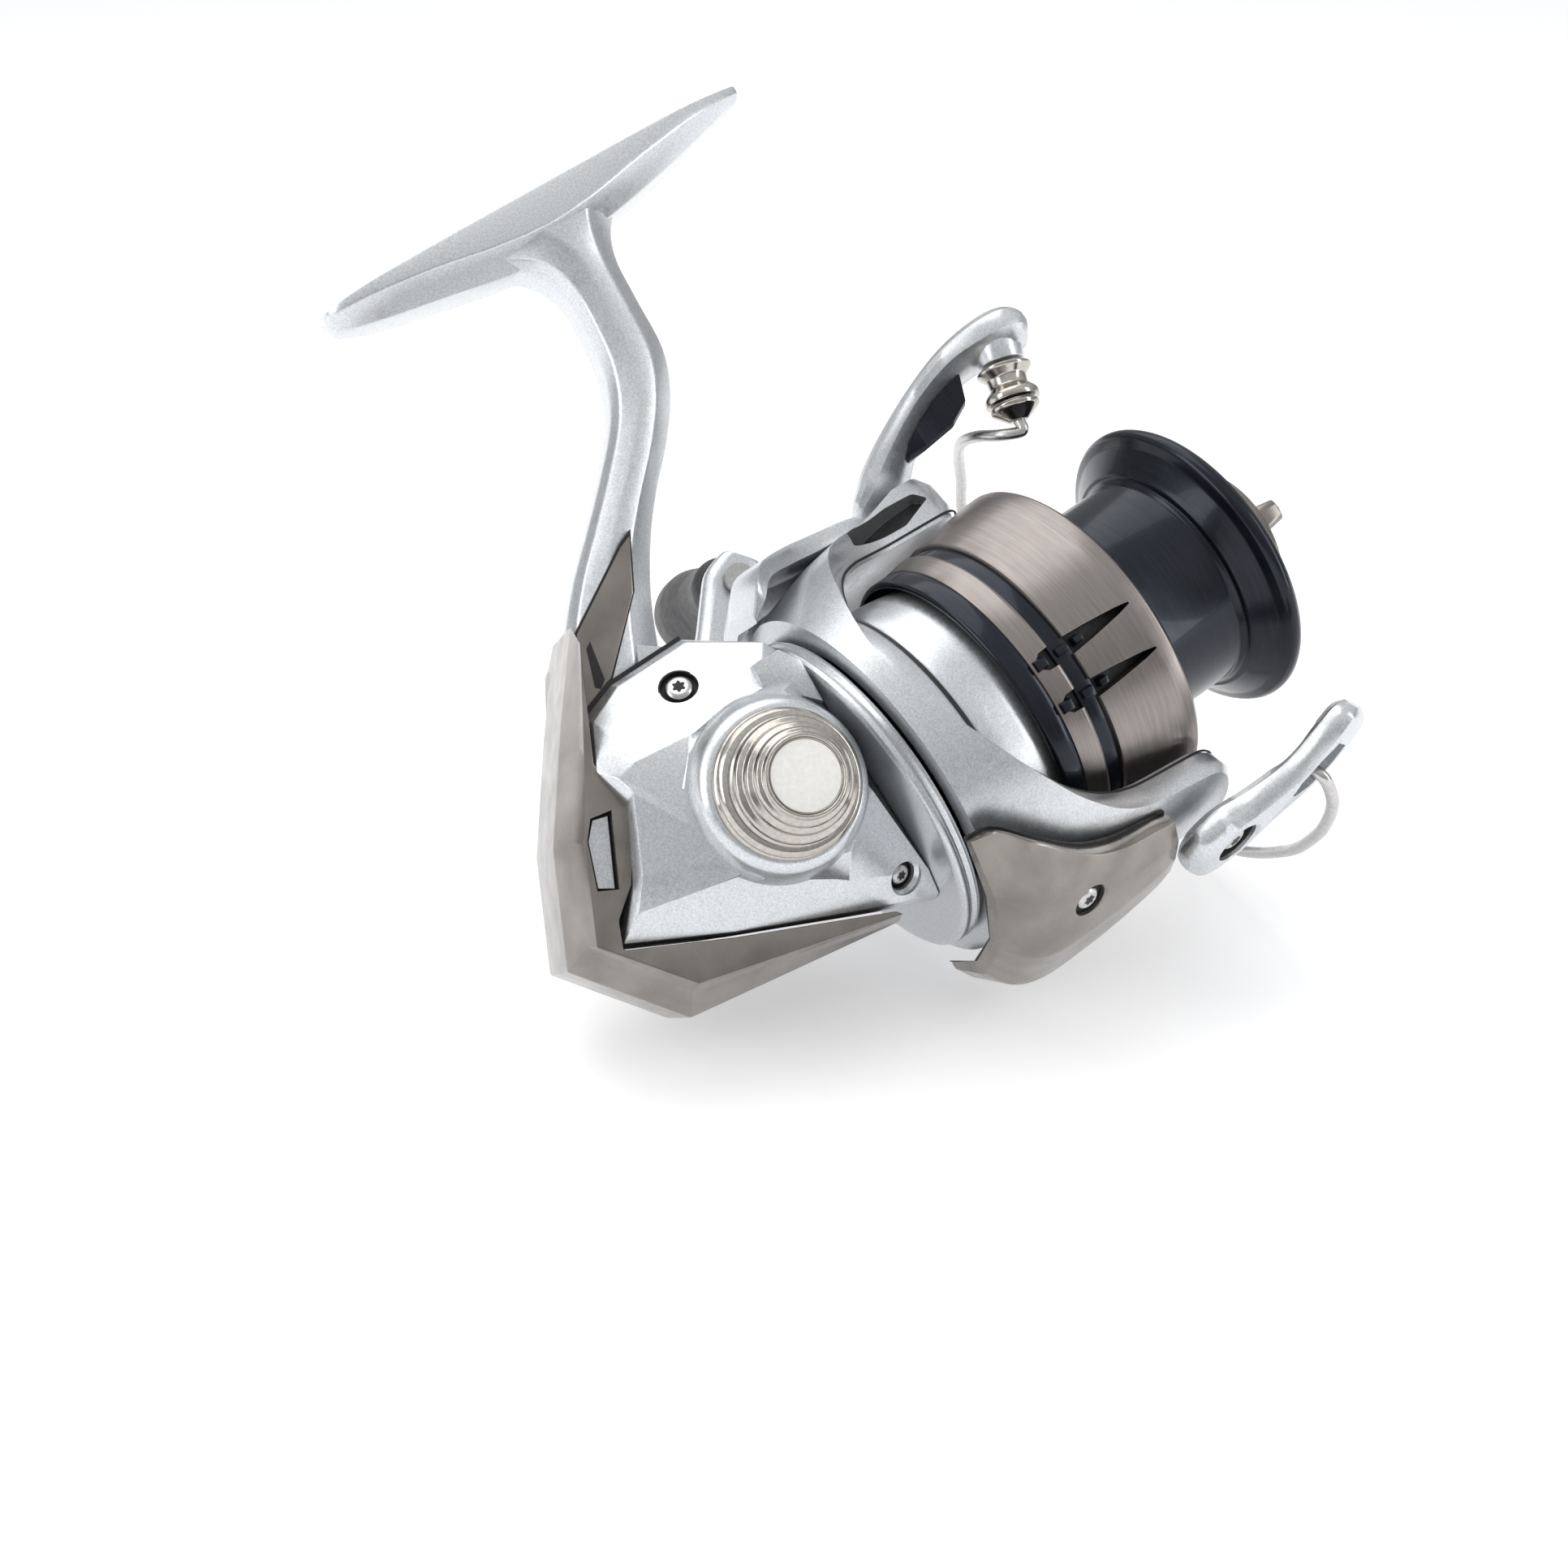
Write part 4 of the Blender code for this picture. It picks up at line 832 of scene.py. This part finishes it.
def rotor():
    """The hub with painted shade in its groove, the shell, and the pocket in the upper arm's flank with painted
    shade on its floor.
    """
    dome = ring_mesh(HUB, CENTRE, X_AXIS, 0.3, 160)
    look = (SILVER, "rotor", ("rotor",))
    piece("rotor_hub_fine", dome, *look, sharp=38)
    shell = piece("rotor_fine", rotor_shell(), *look, sharp=38)
    # Painted shade: a dark ring set into the hub's groove.
    groove = [(20.9, 26.3), (22.5, 26.3), (22.5, 25.3), (20.9, 25.3)]
    piece("hub_groove_shade", ring_mesh(groove, CENTRE, X_AXIS, 0.05), DARK_JOINTS_AND_SHADE, "rotor")
    piece("rim_line", rim_line(), DARK_JOINTS_AND_SHADE, "rotor")
    walls = [[arm_at(x, a, h) for x, h in ARM_FLANK] for a in (5.6, 13.0)]
    cut_by(shell, softened(skin(walls), 0.5))
    # Painted shade: a dark sheet on the floor of the cut pocket.
    floor = [[arm_at(x, a, h) for x, h in ARM_FLANK] for a in (5.0, 5.9)]
    piece("arm_pocket_shade", skin(floor), DARK_JOINTS_AND_SHADE, "rotor")


# An arm cover's sections: x, degrees to each side, inner radius, outer radius.
COVER_ROWS = [
    (14.6, 40.0, 29.0, 31.2),
    (17.4, 41.0, 31.4, 35.0),
    (21.0, 35.0, 33.0, 36.5),
    (27.0, 25.0, 33.0, 36.8),
    (33.0, 19.0, 33.0, 36.8),
    (40.0, 15.5, 33.0, 36.4),
    (43.0, 13.5, 33.0, 35.9),
]


def arm_cover_rows(grow, lower):
    """Sections of the curved plate outside one arm, with a crease along its near flank."""
    rows = []
    for x, half, inner, outer in COVER_ROWS:
        inside = [(inner, share) for share in (-1, -0.5, 0, 0.5, 1)]
        outside = [(outer - lower, share) for share in (1, 0.55, 0, -0.55, -1)]
        row = []
        for radius, share in inside + outside:
            turn = math.radians((half + grow) * share)
            reach = radius - 0.9 if radius > inner and abs(share) == 1 else radius
            row.append((x, reach * math.sin(turn), reach * math.cos(turn)))
        rows.append(row)
    return rows


def arm_covers():
    """The plates outside the arms, silver above and taupe below, each with a sunk screw."""
    for name, side, finish in (("upper", 1, SILVER), ("lower", -1, TAUPE)):
        plate = [
            [arm_at(x, a * side, h * side) for x, a, h in rounded(row, 0.5, 2)]
            for row in arm_cover_rows(0.0, 0.0)
        ]
        look = (finish, "rotor", (f"arm_cover_{name}",))
        cover = piece(f"arm_cover_{name}_fine", skin(between(plate, 6)), *look, sharp=24)
        if name == "lower":
            rows = arm_cover_rows(0.8, 2.4)
            line = [[arm_at(x, a * side, h * side) for x, a, h in row] for row in rows]
            piece("arm_seam", skin(between(line, 3)), DARK_JOINTS_AND_SHADE, "rotor")
        out = round_arms(-12) * side
        at = X_AXIS * 26.0 + out * 36.4
        sink(cover, f"arm_recess_shade_{name}", at, out, 2.6, 1.0, "rotor")
        screw = (f"arm_screw_{name}_fine", at - out * 0.1, out, 1.8, "rotor")
        torx_screw(*screw, (f"arm_screw_{name}",))


# ---------------------------------------------------------------- bail


# Centre line of each lever: x, across, height, half width, half thickness.
ROLLER_LEVER = [
    (46.0, -1.6, 38.0, 2.4, 1.1),
    (48.6, -0.6, 38.6, 4.8, 1.9),
    (52.5, 1.6, 39.7, 5.6, 2.7),
    (57.0, 5.9, 41.8, 4.4, 2.4),
    (63.0, 11.4, 42.9, 4.3, 2.1),
    (69.0, 15.8, 42.6, 4.9, 2.4),
    (74.2, 18.8, 40.8, 5.4, 3.0),
    (77.0, 19.6, 39.4, 4.8, 2.8),
    (78.8, 19.6, 38.4, 2.6, 1.7),
]
CAM_LEVER = [
    (44.0, -0.7, 36.6, 1.8, 1.3),
    (45.0, -0.6, 36.7, 3.8, 2.0),
    (46.8, -0.4, 36.9, 5.4, 2.6),
    (51.5, 0.2, 37.0, 6.2, 2.9),
    (57.0, 2.4, 37.6, 4.6, 2.6),
    (63.0, 6.0, 38.4, 4.0, 2.4),
    (68.5, 10.0, 38.2, 4.3, 2.4),
    (71.4, 12.2, 37.8, 3.6, 2.2),
    (72.6, 13.2, 37.6, 1.8, 1.2),
]


# Half of a lever's section, from its outer edge in: shares of half width and thickness.
LEVER_DOME = [(1.0, 0.0), (0.97, 0.45), (0.78, 0.86), (0.4, 1.0)]
LEVER_INNER = [(-0.9, -0.5), (-0.4, -1.0), (0.4, -1.0), (0.9, -0.5)]


def lever(sections, side):
    """A lever's skin: a domed outer face, crisp flanks, and a flatter inner face."""
    corners = LEVER_DOME + [(-u, v) for u, v in reversed(LEVER_DOME)] + LEVER_INNER
    rows = []
    filled = between([[Vector(s[:3]), Vector((s[3], s[4], 0.0))] for s in sections], 5)
    centres = [arm_at(at.x, at.y, at.z * side) for at, _ in filled]
    for i, (_, size) in enumerate(filled):
        run = (centres[min(i + 1, len(centres) - 1)] - centres[max(i - 1, 0)]).normalized()
        over = run.cross(ARM_UP * side).normalized()
        out = over.cross(run)
        rows.append([centres[i] + over * size.x * u + out * size.y * v for u, v in corners])
    return skin(rows)


# The black block under the roller lever: x, across, height, how deep it hangs.
KEEL = [
    (56.0, 5.6, 39.6, 0.3),
    (59.0, 8.4, 40.2, 2.6),
    (63.0, 12.0, 40.6, 4.4),
    (66.0, 14.2, 40.4, 3.4),
    (67.4, 15.2, 40.4, 0.6),
]
# The eye through the cam lever: x, across, half width.
EYE = [(60.2, 5.2, 0.5), (62.0, 6.4, 1.5), (65.5, 8.8, 1.9), (68.2, 10.8, 1.4)]
EYE_OVER = Vector((-0.62, 0.78, 0.0))


def lever_keel():
    rows = []
    for x, a, h, depth in KEEL:
        drops = ((-1.9, 0), (-0.6, depth), (0.6, depth), (1.9, 0))
        rows.append([arm_at(x, a + w, h - drop) for w, drop in drops])
    return skin(rows)


def eye_cutter():
    sides = [[], []]
    for x, a, half in EYE:
        over = EYE_OVER * half
        for side, sign in zip(sides, (-1, 1)):
            side.append((x + over.x * sign, a + over.y * sign))
    outline = sides[0] + sides[1][::-1]
    return skin([[arm_at(x, a, -h) for x, a in outline] for h in (30.0, 48.0)])


def bail_levers():
    """Both levers, with the screws at their pivots and at the line roller."""
    look = (SILVER, "bail", ("roller_lever",))
    upper = piece("roller_lever_fine", lever(ROLLER_LEVER, 1), *look, sharp=30)
    seat = [(0.0, 6.9), (4.0, 6.9), (3.5, 3.3), (0.0, 3.3)]
    piece("roller_seat", turned_mesh(seat, ROLLER_AT, ROLLER_AXIS, 0.3, 64), *look)
    piece("lever_keel", lever_keel(), BLACK, "bail", sharp=15)
    cam = piece("cam_lever_fine", lever(CAM_LEVER, -1), SILVER, "bail", ("cam_lever",), sharp=36)
    cut_by(cam, eye_cutter())
    for name, host, side, height in (("upper", upper, 1, 41.6), ("lower", cam, -1, 39.6)):
        out = ARM_UP * side
        at = arm_at(PIVOT_X + 0.4, 0.3, height * side)
        sink(host, f"pivot_recess_shade_{name}", at, out, 3.5, 1.7, "bail")
        screw = (f"pivot_screw_{name}_fine", at - out * 0.4, out, 2.0, "bail")
        torx_screw(*screw, (f"pivot_screw_{name}",))
    head = ROLLER_AT + ROLLER_AXIS * 8.6
    sink(upper, "roller_recess_shade", head, ROLLER_AXIS, 2.7, 1.2, "bail")
    screw_at = head - ROLLER_AXIS * 0.2
    torx_screw("roller_screw_fine", screw_at, ROLLER_AXIS, 2.0, "bail", ("roller_screw",))


CONE_AT = ROLLER_AT - ROLLER_AXIS * 3.3


def line_roller():
    """The grooved roller, and under it the cone that the wire starts from."""
    roller = [(3.5, 2.9), (4.3, 2.4), (4.2, 2.0), (3.1, 0.9), (3.0, -0.5), (4.1, -1.6), (4.3, -2.1)]
    roller += [(4.2, -2.9), (1.7, -2.9), (1.7, 2.9)]
    turned = ring_mesh(roller, ROLLER_AT, ROLLER_AXIS, 0.25, 96)
    piece("line_roller_fine", turned, NICKEL, "line_roller", ("line_roller",))
    cone = [(0.0, 0.0), (3.6, 0.0), (3.9, -0.3), (3.7, -0.9), (2.4, -1.9), (1.5, -2.6), (0.0, -2.8)]
    turned = turned_mesh(cone, CONE_AT, ROLLER_AXIS, 0.2, 64)
    piece("bail_cone_fine", turned, NICKEL, "bail", ("bail_cone",))


# The wire's ends by the roller and by the cam lever: x, across, height.
WIRE_START = [
    (67.0, 12.5, 29.8), (65.8, 9.6, 33.6), (66.2, 4.6, 37.2), (68.0, -2.0, 39.6),
    (69.8, -10.5, 40.4),
]
WIRE_END = [(65.6, 1.6, -43.8), (65.2, 4.6, -42.8), (64.6, 6.8, -41.6), (64.2, 7.2, -39.6)]
WIRE_BOW = (28, 48, 69, 90, 111, 132, 152, 166, 175)
WIRE_REACH = 48.0


def bail_wire():
    """The wire from the cone, out in a bow round the spool, and back to the cam lever."""
    knots = [CONE_AT - ROLLER_AXIS * 2.4, CONE_AT - ROLLER_AXIS * 4.2]
    knots += [arm_at(*place) for place in WIRE_START]
    for index, degrees in enumerate(WIRE_BOW):
        turn = math.radians(degrees)
        reach = WIRE_REACH - 4.0 * abs(math.cos(turn))
        knots.append(arm_at(70.2 - 0.5 * index, -reach * math.sin(turn), reach * math.cos(turn)))
    knots += [arm_at(*place) for place in WIRE_END]
    wire = bar(curve_through(knots, 8), 0.92, 16)
    piece("bail_wire_fine", wire, STEEL, "bail", ("bail_wire",))


# ---------------------------------------------------------------- spool


CORE = [
    (14.0, 81.0), (19.6, 81.0), (21.6, 80.8), (23.0, 80.2), (23.5, 79.4), (23.5, 78.6),
    (23.0, 77.9), (21.6, 77.3), (18.9, 75.0), (18.4, 74.5), (17.9, 74.5), (17.6, 74.0),
    (17.2, 73.6), (17.2, 55.3), (22.0, 55.3), (22.0, 53.8), (15.4, 53.8), (15.4, 61.8),
    (7.4, 61.8), (7.0, 55.0), (5.4, 55.0), (5.4, 60.0), (2.3, 60.0), (2.3, 64.0),
    (14.0, 64.0),
]
# The skirt's pointed slots: x, half width. Across each, clip blocks: x from, x to, half width, top.
SLOT = [(54.0, 0.15), (52.0, 0.55), (47.0, 1.15), (42.0, 1.55), (39.4, 1.4), (38.4, 0.6)]
SLOT_TURNS = (190.0, 174.0)
CLIPS = [(37.8, 39.6, 1.0, 24.8), (41.4, 43.4, 0.8, 24.9), (44.6, 46.0, 0.7, 24.9)]


def slot_cutter(degrees):
    out, over = round_spool(degrees)
    rows = []
    for x, half in SLOT:
        ends = ((22.6, -half), (22.6, half), (28.0, half), (28.0, -half))
        rows.append([X_AXIS * x + out * r + over * w for r, w in ends])
    return skin(rows)


def line_clips():
    blocks = []
    for degrees in SLOT_TURNS:
        out, over = round_spool(degrees)
        for x_from, x_to, half, top in CLIPS:
            ends = ((23.2, -half), (top, -half * 0.7), (top, half * 0.7), (23.2, half))
            rows = [[X_AXIS * x + out * r + over * w for r, w in ends] for x in (x_from, x_to)]
            blocks.append(softened(skin(rows), 0.15))
    return merged(*blocks)


def spool_ring(profile, ease):
    return ring_mesh(profile, CENTRE, X_AXIS, ease, 160)


def spool():
    """The black core with its lip, the slotted taupe skirt, its black rings and the clips."""
    piece("spool_core_fine", spool_ring(CORE, 0.25), BLACK, "spool", ("spool_core",), sharp=45)
    front = [(17.5, 56.9), (24.6, 56.9), (25.7, 56.7), (26.2, 56.1), (26.15, 54.0), (24.75, 43.7)]
    front += [(24.3, 43.5), (23.3, 43.5), (24.0, 50.0), (23.8, 55.7), (17.5, 55.7)]
    band = [(24.3, 41.1), (24.45, 40.6), (23.95, 37.5), (23.6, 37.35), (23.1, 37.4), (23.4, 41.1)]
    shell = merged(spool_ring(front, 0.15), spool_ring(band, 0.1))
    skirt = piece("spool_skirt_fine", shell, SKIRT, "spool", ("spool_skirt",), sharp=30)
    groove = [(24.15, 43.7), (24.1, 40.9), (23.0, 40.9), (23.0, 43.7)]
    black = [(23.85, 37.4), (23.95, 36.6), (23.9, 34.4), (23.5, 34.0), (23.0, 34.0), (23.0, 37.4)]
    rings = merged(spool_ring(groove, 0.08), spool_ring(black, 0.15))
    piece("skirt_ring_fine", rings, BLACK, "spool", ("skirt_ring",))
    for degrees in SLOT_TURNS:
        cut_by(skirt, slot_cutter(degrees))
    # Painted shade: a dark ring lining the inside of the skirt, seen through its slots.
    liner = [(23.3, 54.6), (23.3, 37.0), (22.9, 37.0), (22.9, 54.6)]
    piece("skirt_inner_shade", ring_mesh(liner, CENTRE, X_AXIS, 0.05), DARK_JOINTS_AND_SHADE, "spool")
    piece("line_clip_fine", line_clips(), BLACK, "spool", ("line_clip",))


# The drag knob's grip: its outline (x, z), then its sections across (y, share of the size).
WING_ROOT = 88.2
WING = [(WING_ROOT, -1.8), (92.0, -1.4), (92.2, 0.0), (92.0, 1.4), (WING_ROOT, 1.8)]
WING_STATIONS = [(-10.8, 0.55), (-10.2, 0.9), (-7.0, 1.0)]
WING_STATIONS += [(0.0, 1.0), (7.0, 1.0), (10.2, 0.9), (10.8, 0.55)]
KNOB_RIBS = 24


def knob_wing():
    rows = []
    for y, scale in WING_STATIONS:
        rise = 0.8 + 0.2 * scale
        rows.append([(WING_ROOT + (x - WING_ROOT) * rise, y, z * scale * 1.3) for x, z in WING])
    return softened(skin(rows), 0.3)


def drag_knob():
    """The ribbed knob at the spool's front, with a grip across it."""
    knob = [(9.6, 76.0), (11.0, 76.0), (12.4, 76.8), (12.6, 78.0), (12.6, 82.0), (12.3, 86.0)]
    knob += [(11.4, 88.4), (8.0, 89.6), (2.2, 89.6), (2.2, 85.0), (9.6, 85.0)]
    cap = [(0.0, 89.5), (3.0, 89.5), (3.0, 87.8), (0.0, 87.8)]
    shapes = [
        ring_mesh(knob, CENTRE, X_AXIS, 0.35),
        turned_mesh(cap, CENTRE, X_AXIS, 0.1, 48),
        knob_wing(),
    ]
    for i in range(KNOB_RIBS):
        turn = 2 * math.pi * i / KNOB_RIBS
        out = Vector((0.0, math.cos(turn), math.sin(turn)))
        shapes.append(bar([X_AXIS * 78.6 + out * 12.2, X_AXIS * 84.0 + out * 12.1], 0.45, 8))
    piece("drag_knob_fine", merged(*shapes), TAUPE, "drag_knob", ("drag_knob",))


# ---------------------------------------------------------------- handle


HANDLE_TURN = math.radians(40)
# The handle arm's sections: distance from the axle, y, half width, half thickness.
CRANK = [
    (-5.2, 30.0, 5.4, 4.4),
    (0.0, 30.2, 6.4, 4.8),
    (9.0, 32.6, 5.0, 3.4),
    (20.0, 38.4, 4.4, 2.7),
    (32.0, 44.6, 4.4, 2.5),
    (40.0, 47.4, 5.0, 2.5),
    (44.0, 48.0, 5.2, 2.5),
    (48.0, 48.0, 3.6, 2.2),
    (48.6, 48.0, 2.6, 1.8),
]
PIN_REACH = 44.0


def handle():
    """The handle's arm and hub, and the rubber knob with its cap."""
    along = Vector((math.cos(HANDLE_TURN), 0.0, math.sin(HANDLE_TURN)))
    over = Vector((-math.sin(HANDLE_TURN), 0.0, math.cos(HANDLE_TURN)))
    near = [(0.7, 1.0), (1.0, 0.45), (1.0, -0.45), (0.7, -1.0)]
    corners = near + [(-u, v) for u, v in reversed(near)]
    rows = []
    for reach, y, half, thick in CRANK:
        centre = AXLE + along * reach
        row = [centre + over * half * u + Y_AXIS * (y + thick * v) for u, v in corners]
        rows.append(rounded(row, 0.6, 2))
    arm = skin(between(rows, 5))
    piece("handle_arm_fine", arm, SILVER, "drive", ("handle_arm",), sharp=30)
    hub = [(0.0, 28.3), (5.2, 28.3), (6.0, 27.4), (6.0, 24.6), (7.4, 23.4), (7.4, 22.5), (0.0, 22.5)]
    piece("handle_hub_fine", turned_mesh(hub, AXLE, Y_AXIS), NICKEL, "drive", ("handle_hub",))
    pin_at = AXLE + along * PIN_REACH
    knob = [(6.2, 78.0), (7.2, 77.2), (7.6, 75.0), (7.6, 71.0), (6.9, 67.0), (6.1, 63.0), (5.6, 58.0)]
    knob += [(5.9, 54.0), (5.2, 51.6), (2.2, 51.6), (2.2, 73.6), (4.2, 74.2), (4.2, 78.0)]
    grip = ring_mesh(knob, pin_at, Y_AXIS, 0.5, 96)
    piece("handle_knob_fine", grip, RUBBER, "knob", ("handle_knob",), sharp=45)
    cap = [(0.0, 79.2), (3.0, 79.2), (3.7, 78.6), (3.8, 76.8), (0.0, 76.8)]
    turned = turned_mesh(cap, pin_at, Y_AXIS, steps=64)
    piece("knob_cap_fine", turned, NICKEL, "knob", ("knob_cap",))


# ---------------------------------------------------------------- stage


CAMERA_RIGHT = Vector((0.7856, -0.2802, -0.5517)).normalized()
CAMERA_BACK = Vector((-0.2975, -0.9528, 0.0603)).normalized()
CAMERA_AT = Vector((-0.10219, -0.27453, -0.07069))
# The reel lies on its guard, its lower arm and its knob, so the floor is not level in its frame.
FLOOR_UP = Vector((0.375, -0.573, 0.729))
FLOOR_UP = (FLOOR_UP - CAMERA_RIGHT * FLOOR_UP.dot(CAMERA_RIGHT)).normalized()


def lowest_along(direction):
    """How far the lowest CAD point is along a direction."""
    return min(
        direction.dot(vert.co) for node in frame["nodes"].values() for vert in node.data.vertices
    )


def pale_floor():
    """A white floor that shows from above only, so a view from under it still sees the reel."""
    made = bpy.data.materials.new("pale_floor")
    made.use_nodes = True
    nodes, links = made.node_tree.nodes, made.node_tree.links
    shader = nodes["Principled BSDF"]
    set_inputs(shader, {"Base Color": (0.86, 0.86, 0.87, 1.0), "Roughness": 0.7})
    set_inputs(shader, {"Emission Color": (1.0, 1.0, 1.0, 1.0), "Emission Strength": 0.36})
    side = nodes.new("ShaderNodeNewGeometry")
    clear = nodes.new("ShaderNodeBsdfTransparent")
    mix = nodes.new("ShaderNodeMixShader")
    links.new(side.outputs["Backfacing"], mix.inputs["Fac"])
    links.new(shader.outputs["BSDF"], mix.inputs[1])
    links.new(clear.outputs["BSDF"], mix.inputs[2])
    links.new(mix.outputs["Shader"], nodes["Material Output"].inputs["Surface"])
    return made


def stage():
    """The floor, just under the lowest point of the reel as it lies."""
    bm = bmesh.new()
    bmesh.ops.create_grid(bm, x_segments=2, y_segments=2, size=6.0)
    floor = placed("floor", mesh_of("floor", bm))
    floor.data.materials.append(pale_floor())
    floor.rotation_mode = "QUATERNION"
    floor.rotation_quaternion = Vector((0.0, 0.0, 1.0)).rotation_difference(FLOOR_UP)
    floor.location = FLOOR_UP * (lowest_along(FLOOR_UP) - 0.0002)


def softbox(name, direction, distance, size, power, target):
    """A rectangular lamp that faces the reel from a direction given in right, back and up."""
    right, back, up = direction
    flat_back = (CAMERA_BACK - FLOOR_UP * CAMERA_BACK.dot(FLOOR_UP)).normalized()
    away = (CAMERA_RIGHT * right + flat_back * back + FLOOR_UP * up).normalized()
    lamp = bpy.data.lights.new(name, "AREA")
    lamp.shape = "RECTANGLE"
    lamp.size, lamp.size_y = size
    lamp.energy = power
    obj = placed(name, lamp)
    obj.location = target + away * distance
    obj.rotation_mode = "QUATERNION"
    obj.rotation_quaternion = (-away).to_track_quat("-Z", "Y")


def lights():
    middle = (CAD_BOX[0] + CAD_BOX[1]) / 2
    softbox("top_light", (-0.3, -0.35, 1.0), 0.65, (0.8, 0.6), 2.2, middle)
    softbox("left_light", (-1.0, 0.5, 0.5), 0.6, (0.2, 0.5), 0.9, middle)
    softbox("right_light", (1.0, 0.3, 0.4), 0.6, (0.12, 0.5), 0.8, middle)


def studio_world():
    """A backdrop that looks white itself, while what the metal mirrors is dimmer low down."""
    world = bpy.data.worlds.new("studio")
    world.use_nodes = True
    nodes, links = world.node_tree.nodes, world.node_tree.links
    backdrop = nodes["Background"]
    backdrop.inputs["Color"].default_value = (0.98, 0.99, 1.0, 1.0)
    place = nodes.new("ShaderNodeTexCoord")
    rise = nodes.new("ShaderNodeVectorMath")
    rise.operation = "DOT_PRODUCT"
    rise.inputs[1].default_value = FLOOR_UP
    ramp = map_range(nodes, 0.0, 0.8, 0.28, 0.8)
    links.new(place.outputs["Generated"], rise.inputs[0])
    links.new(rise.outputs["Value"], ramp.inputs["Value"])
    path = nodes.new("ShaderNodeLightPath")
    choose = nodes.new("ShaderNodeMix")
    choose.inputs["B"].default_value = 1.0
    links.new(path.outputs["Is Camera Ray"], choose.inputs["Factor"])
    links.new(ramp.outputs["Result"], choose.inputs["A"])
    links.new(choose.outputs["Result"], backdrop.inputs["Strength"])
    bpy.context.scene.world = world


def camera():
    up = CAMERA_BACK.cross(CAMERA_RIGHT).normalized()
    right = up.cross(CAMERA_BACK)
    data = bpy.data.cameras.new("photo_camera")
    data.sensor_width = 36.0
    data.lens = 46.58
    data.clip_start = 0.01
    obj = placed("photo_camera", data)
    turn = Matrix((right, up, CAMERA_BACK)).transposed().to_4x4()
    obj.matrix_world = Matrix.Translation(CAMERA_AT) @ turn
    bpy.context.scene.camera = obj
    bpy.context.scene.view_settings.view_transform = "Standard"


dress_frame()
main_frame()
side_cover()
end_cap()
rear_guard()
stem_inlays()
rotor()
arm_covers()
bail_levers()
line_roller()
bail_wire()
spool()
drag_knob()
handle()
stage()
lights()
studio_world()
camera()
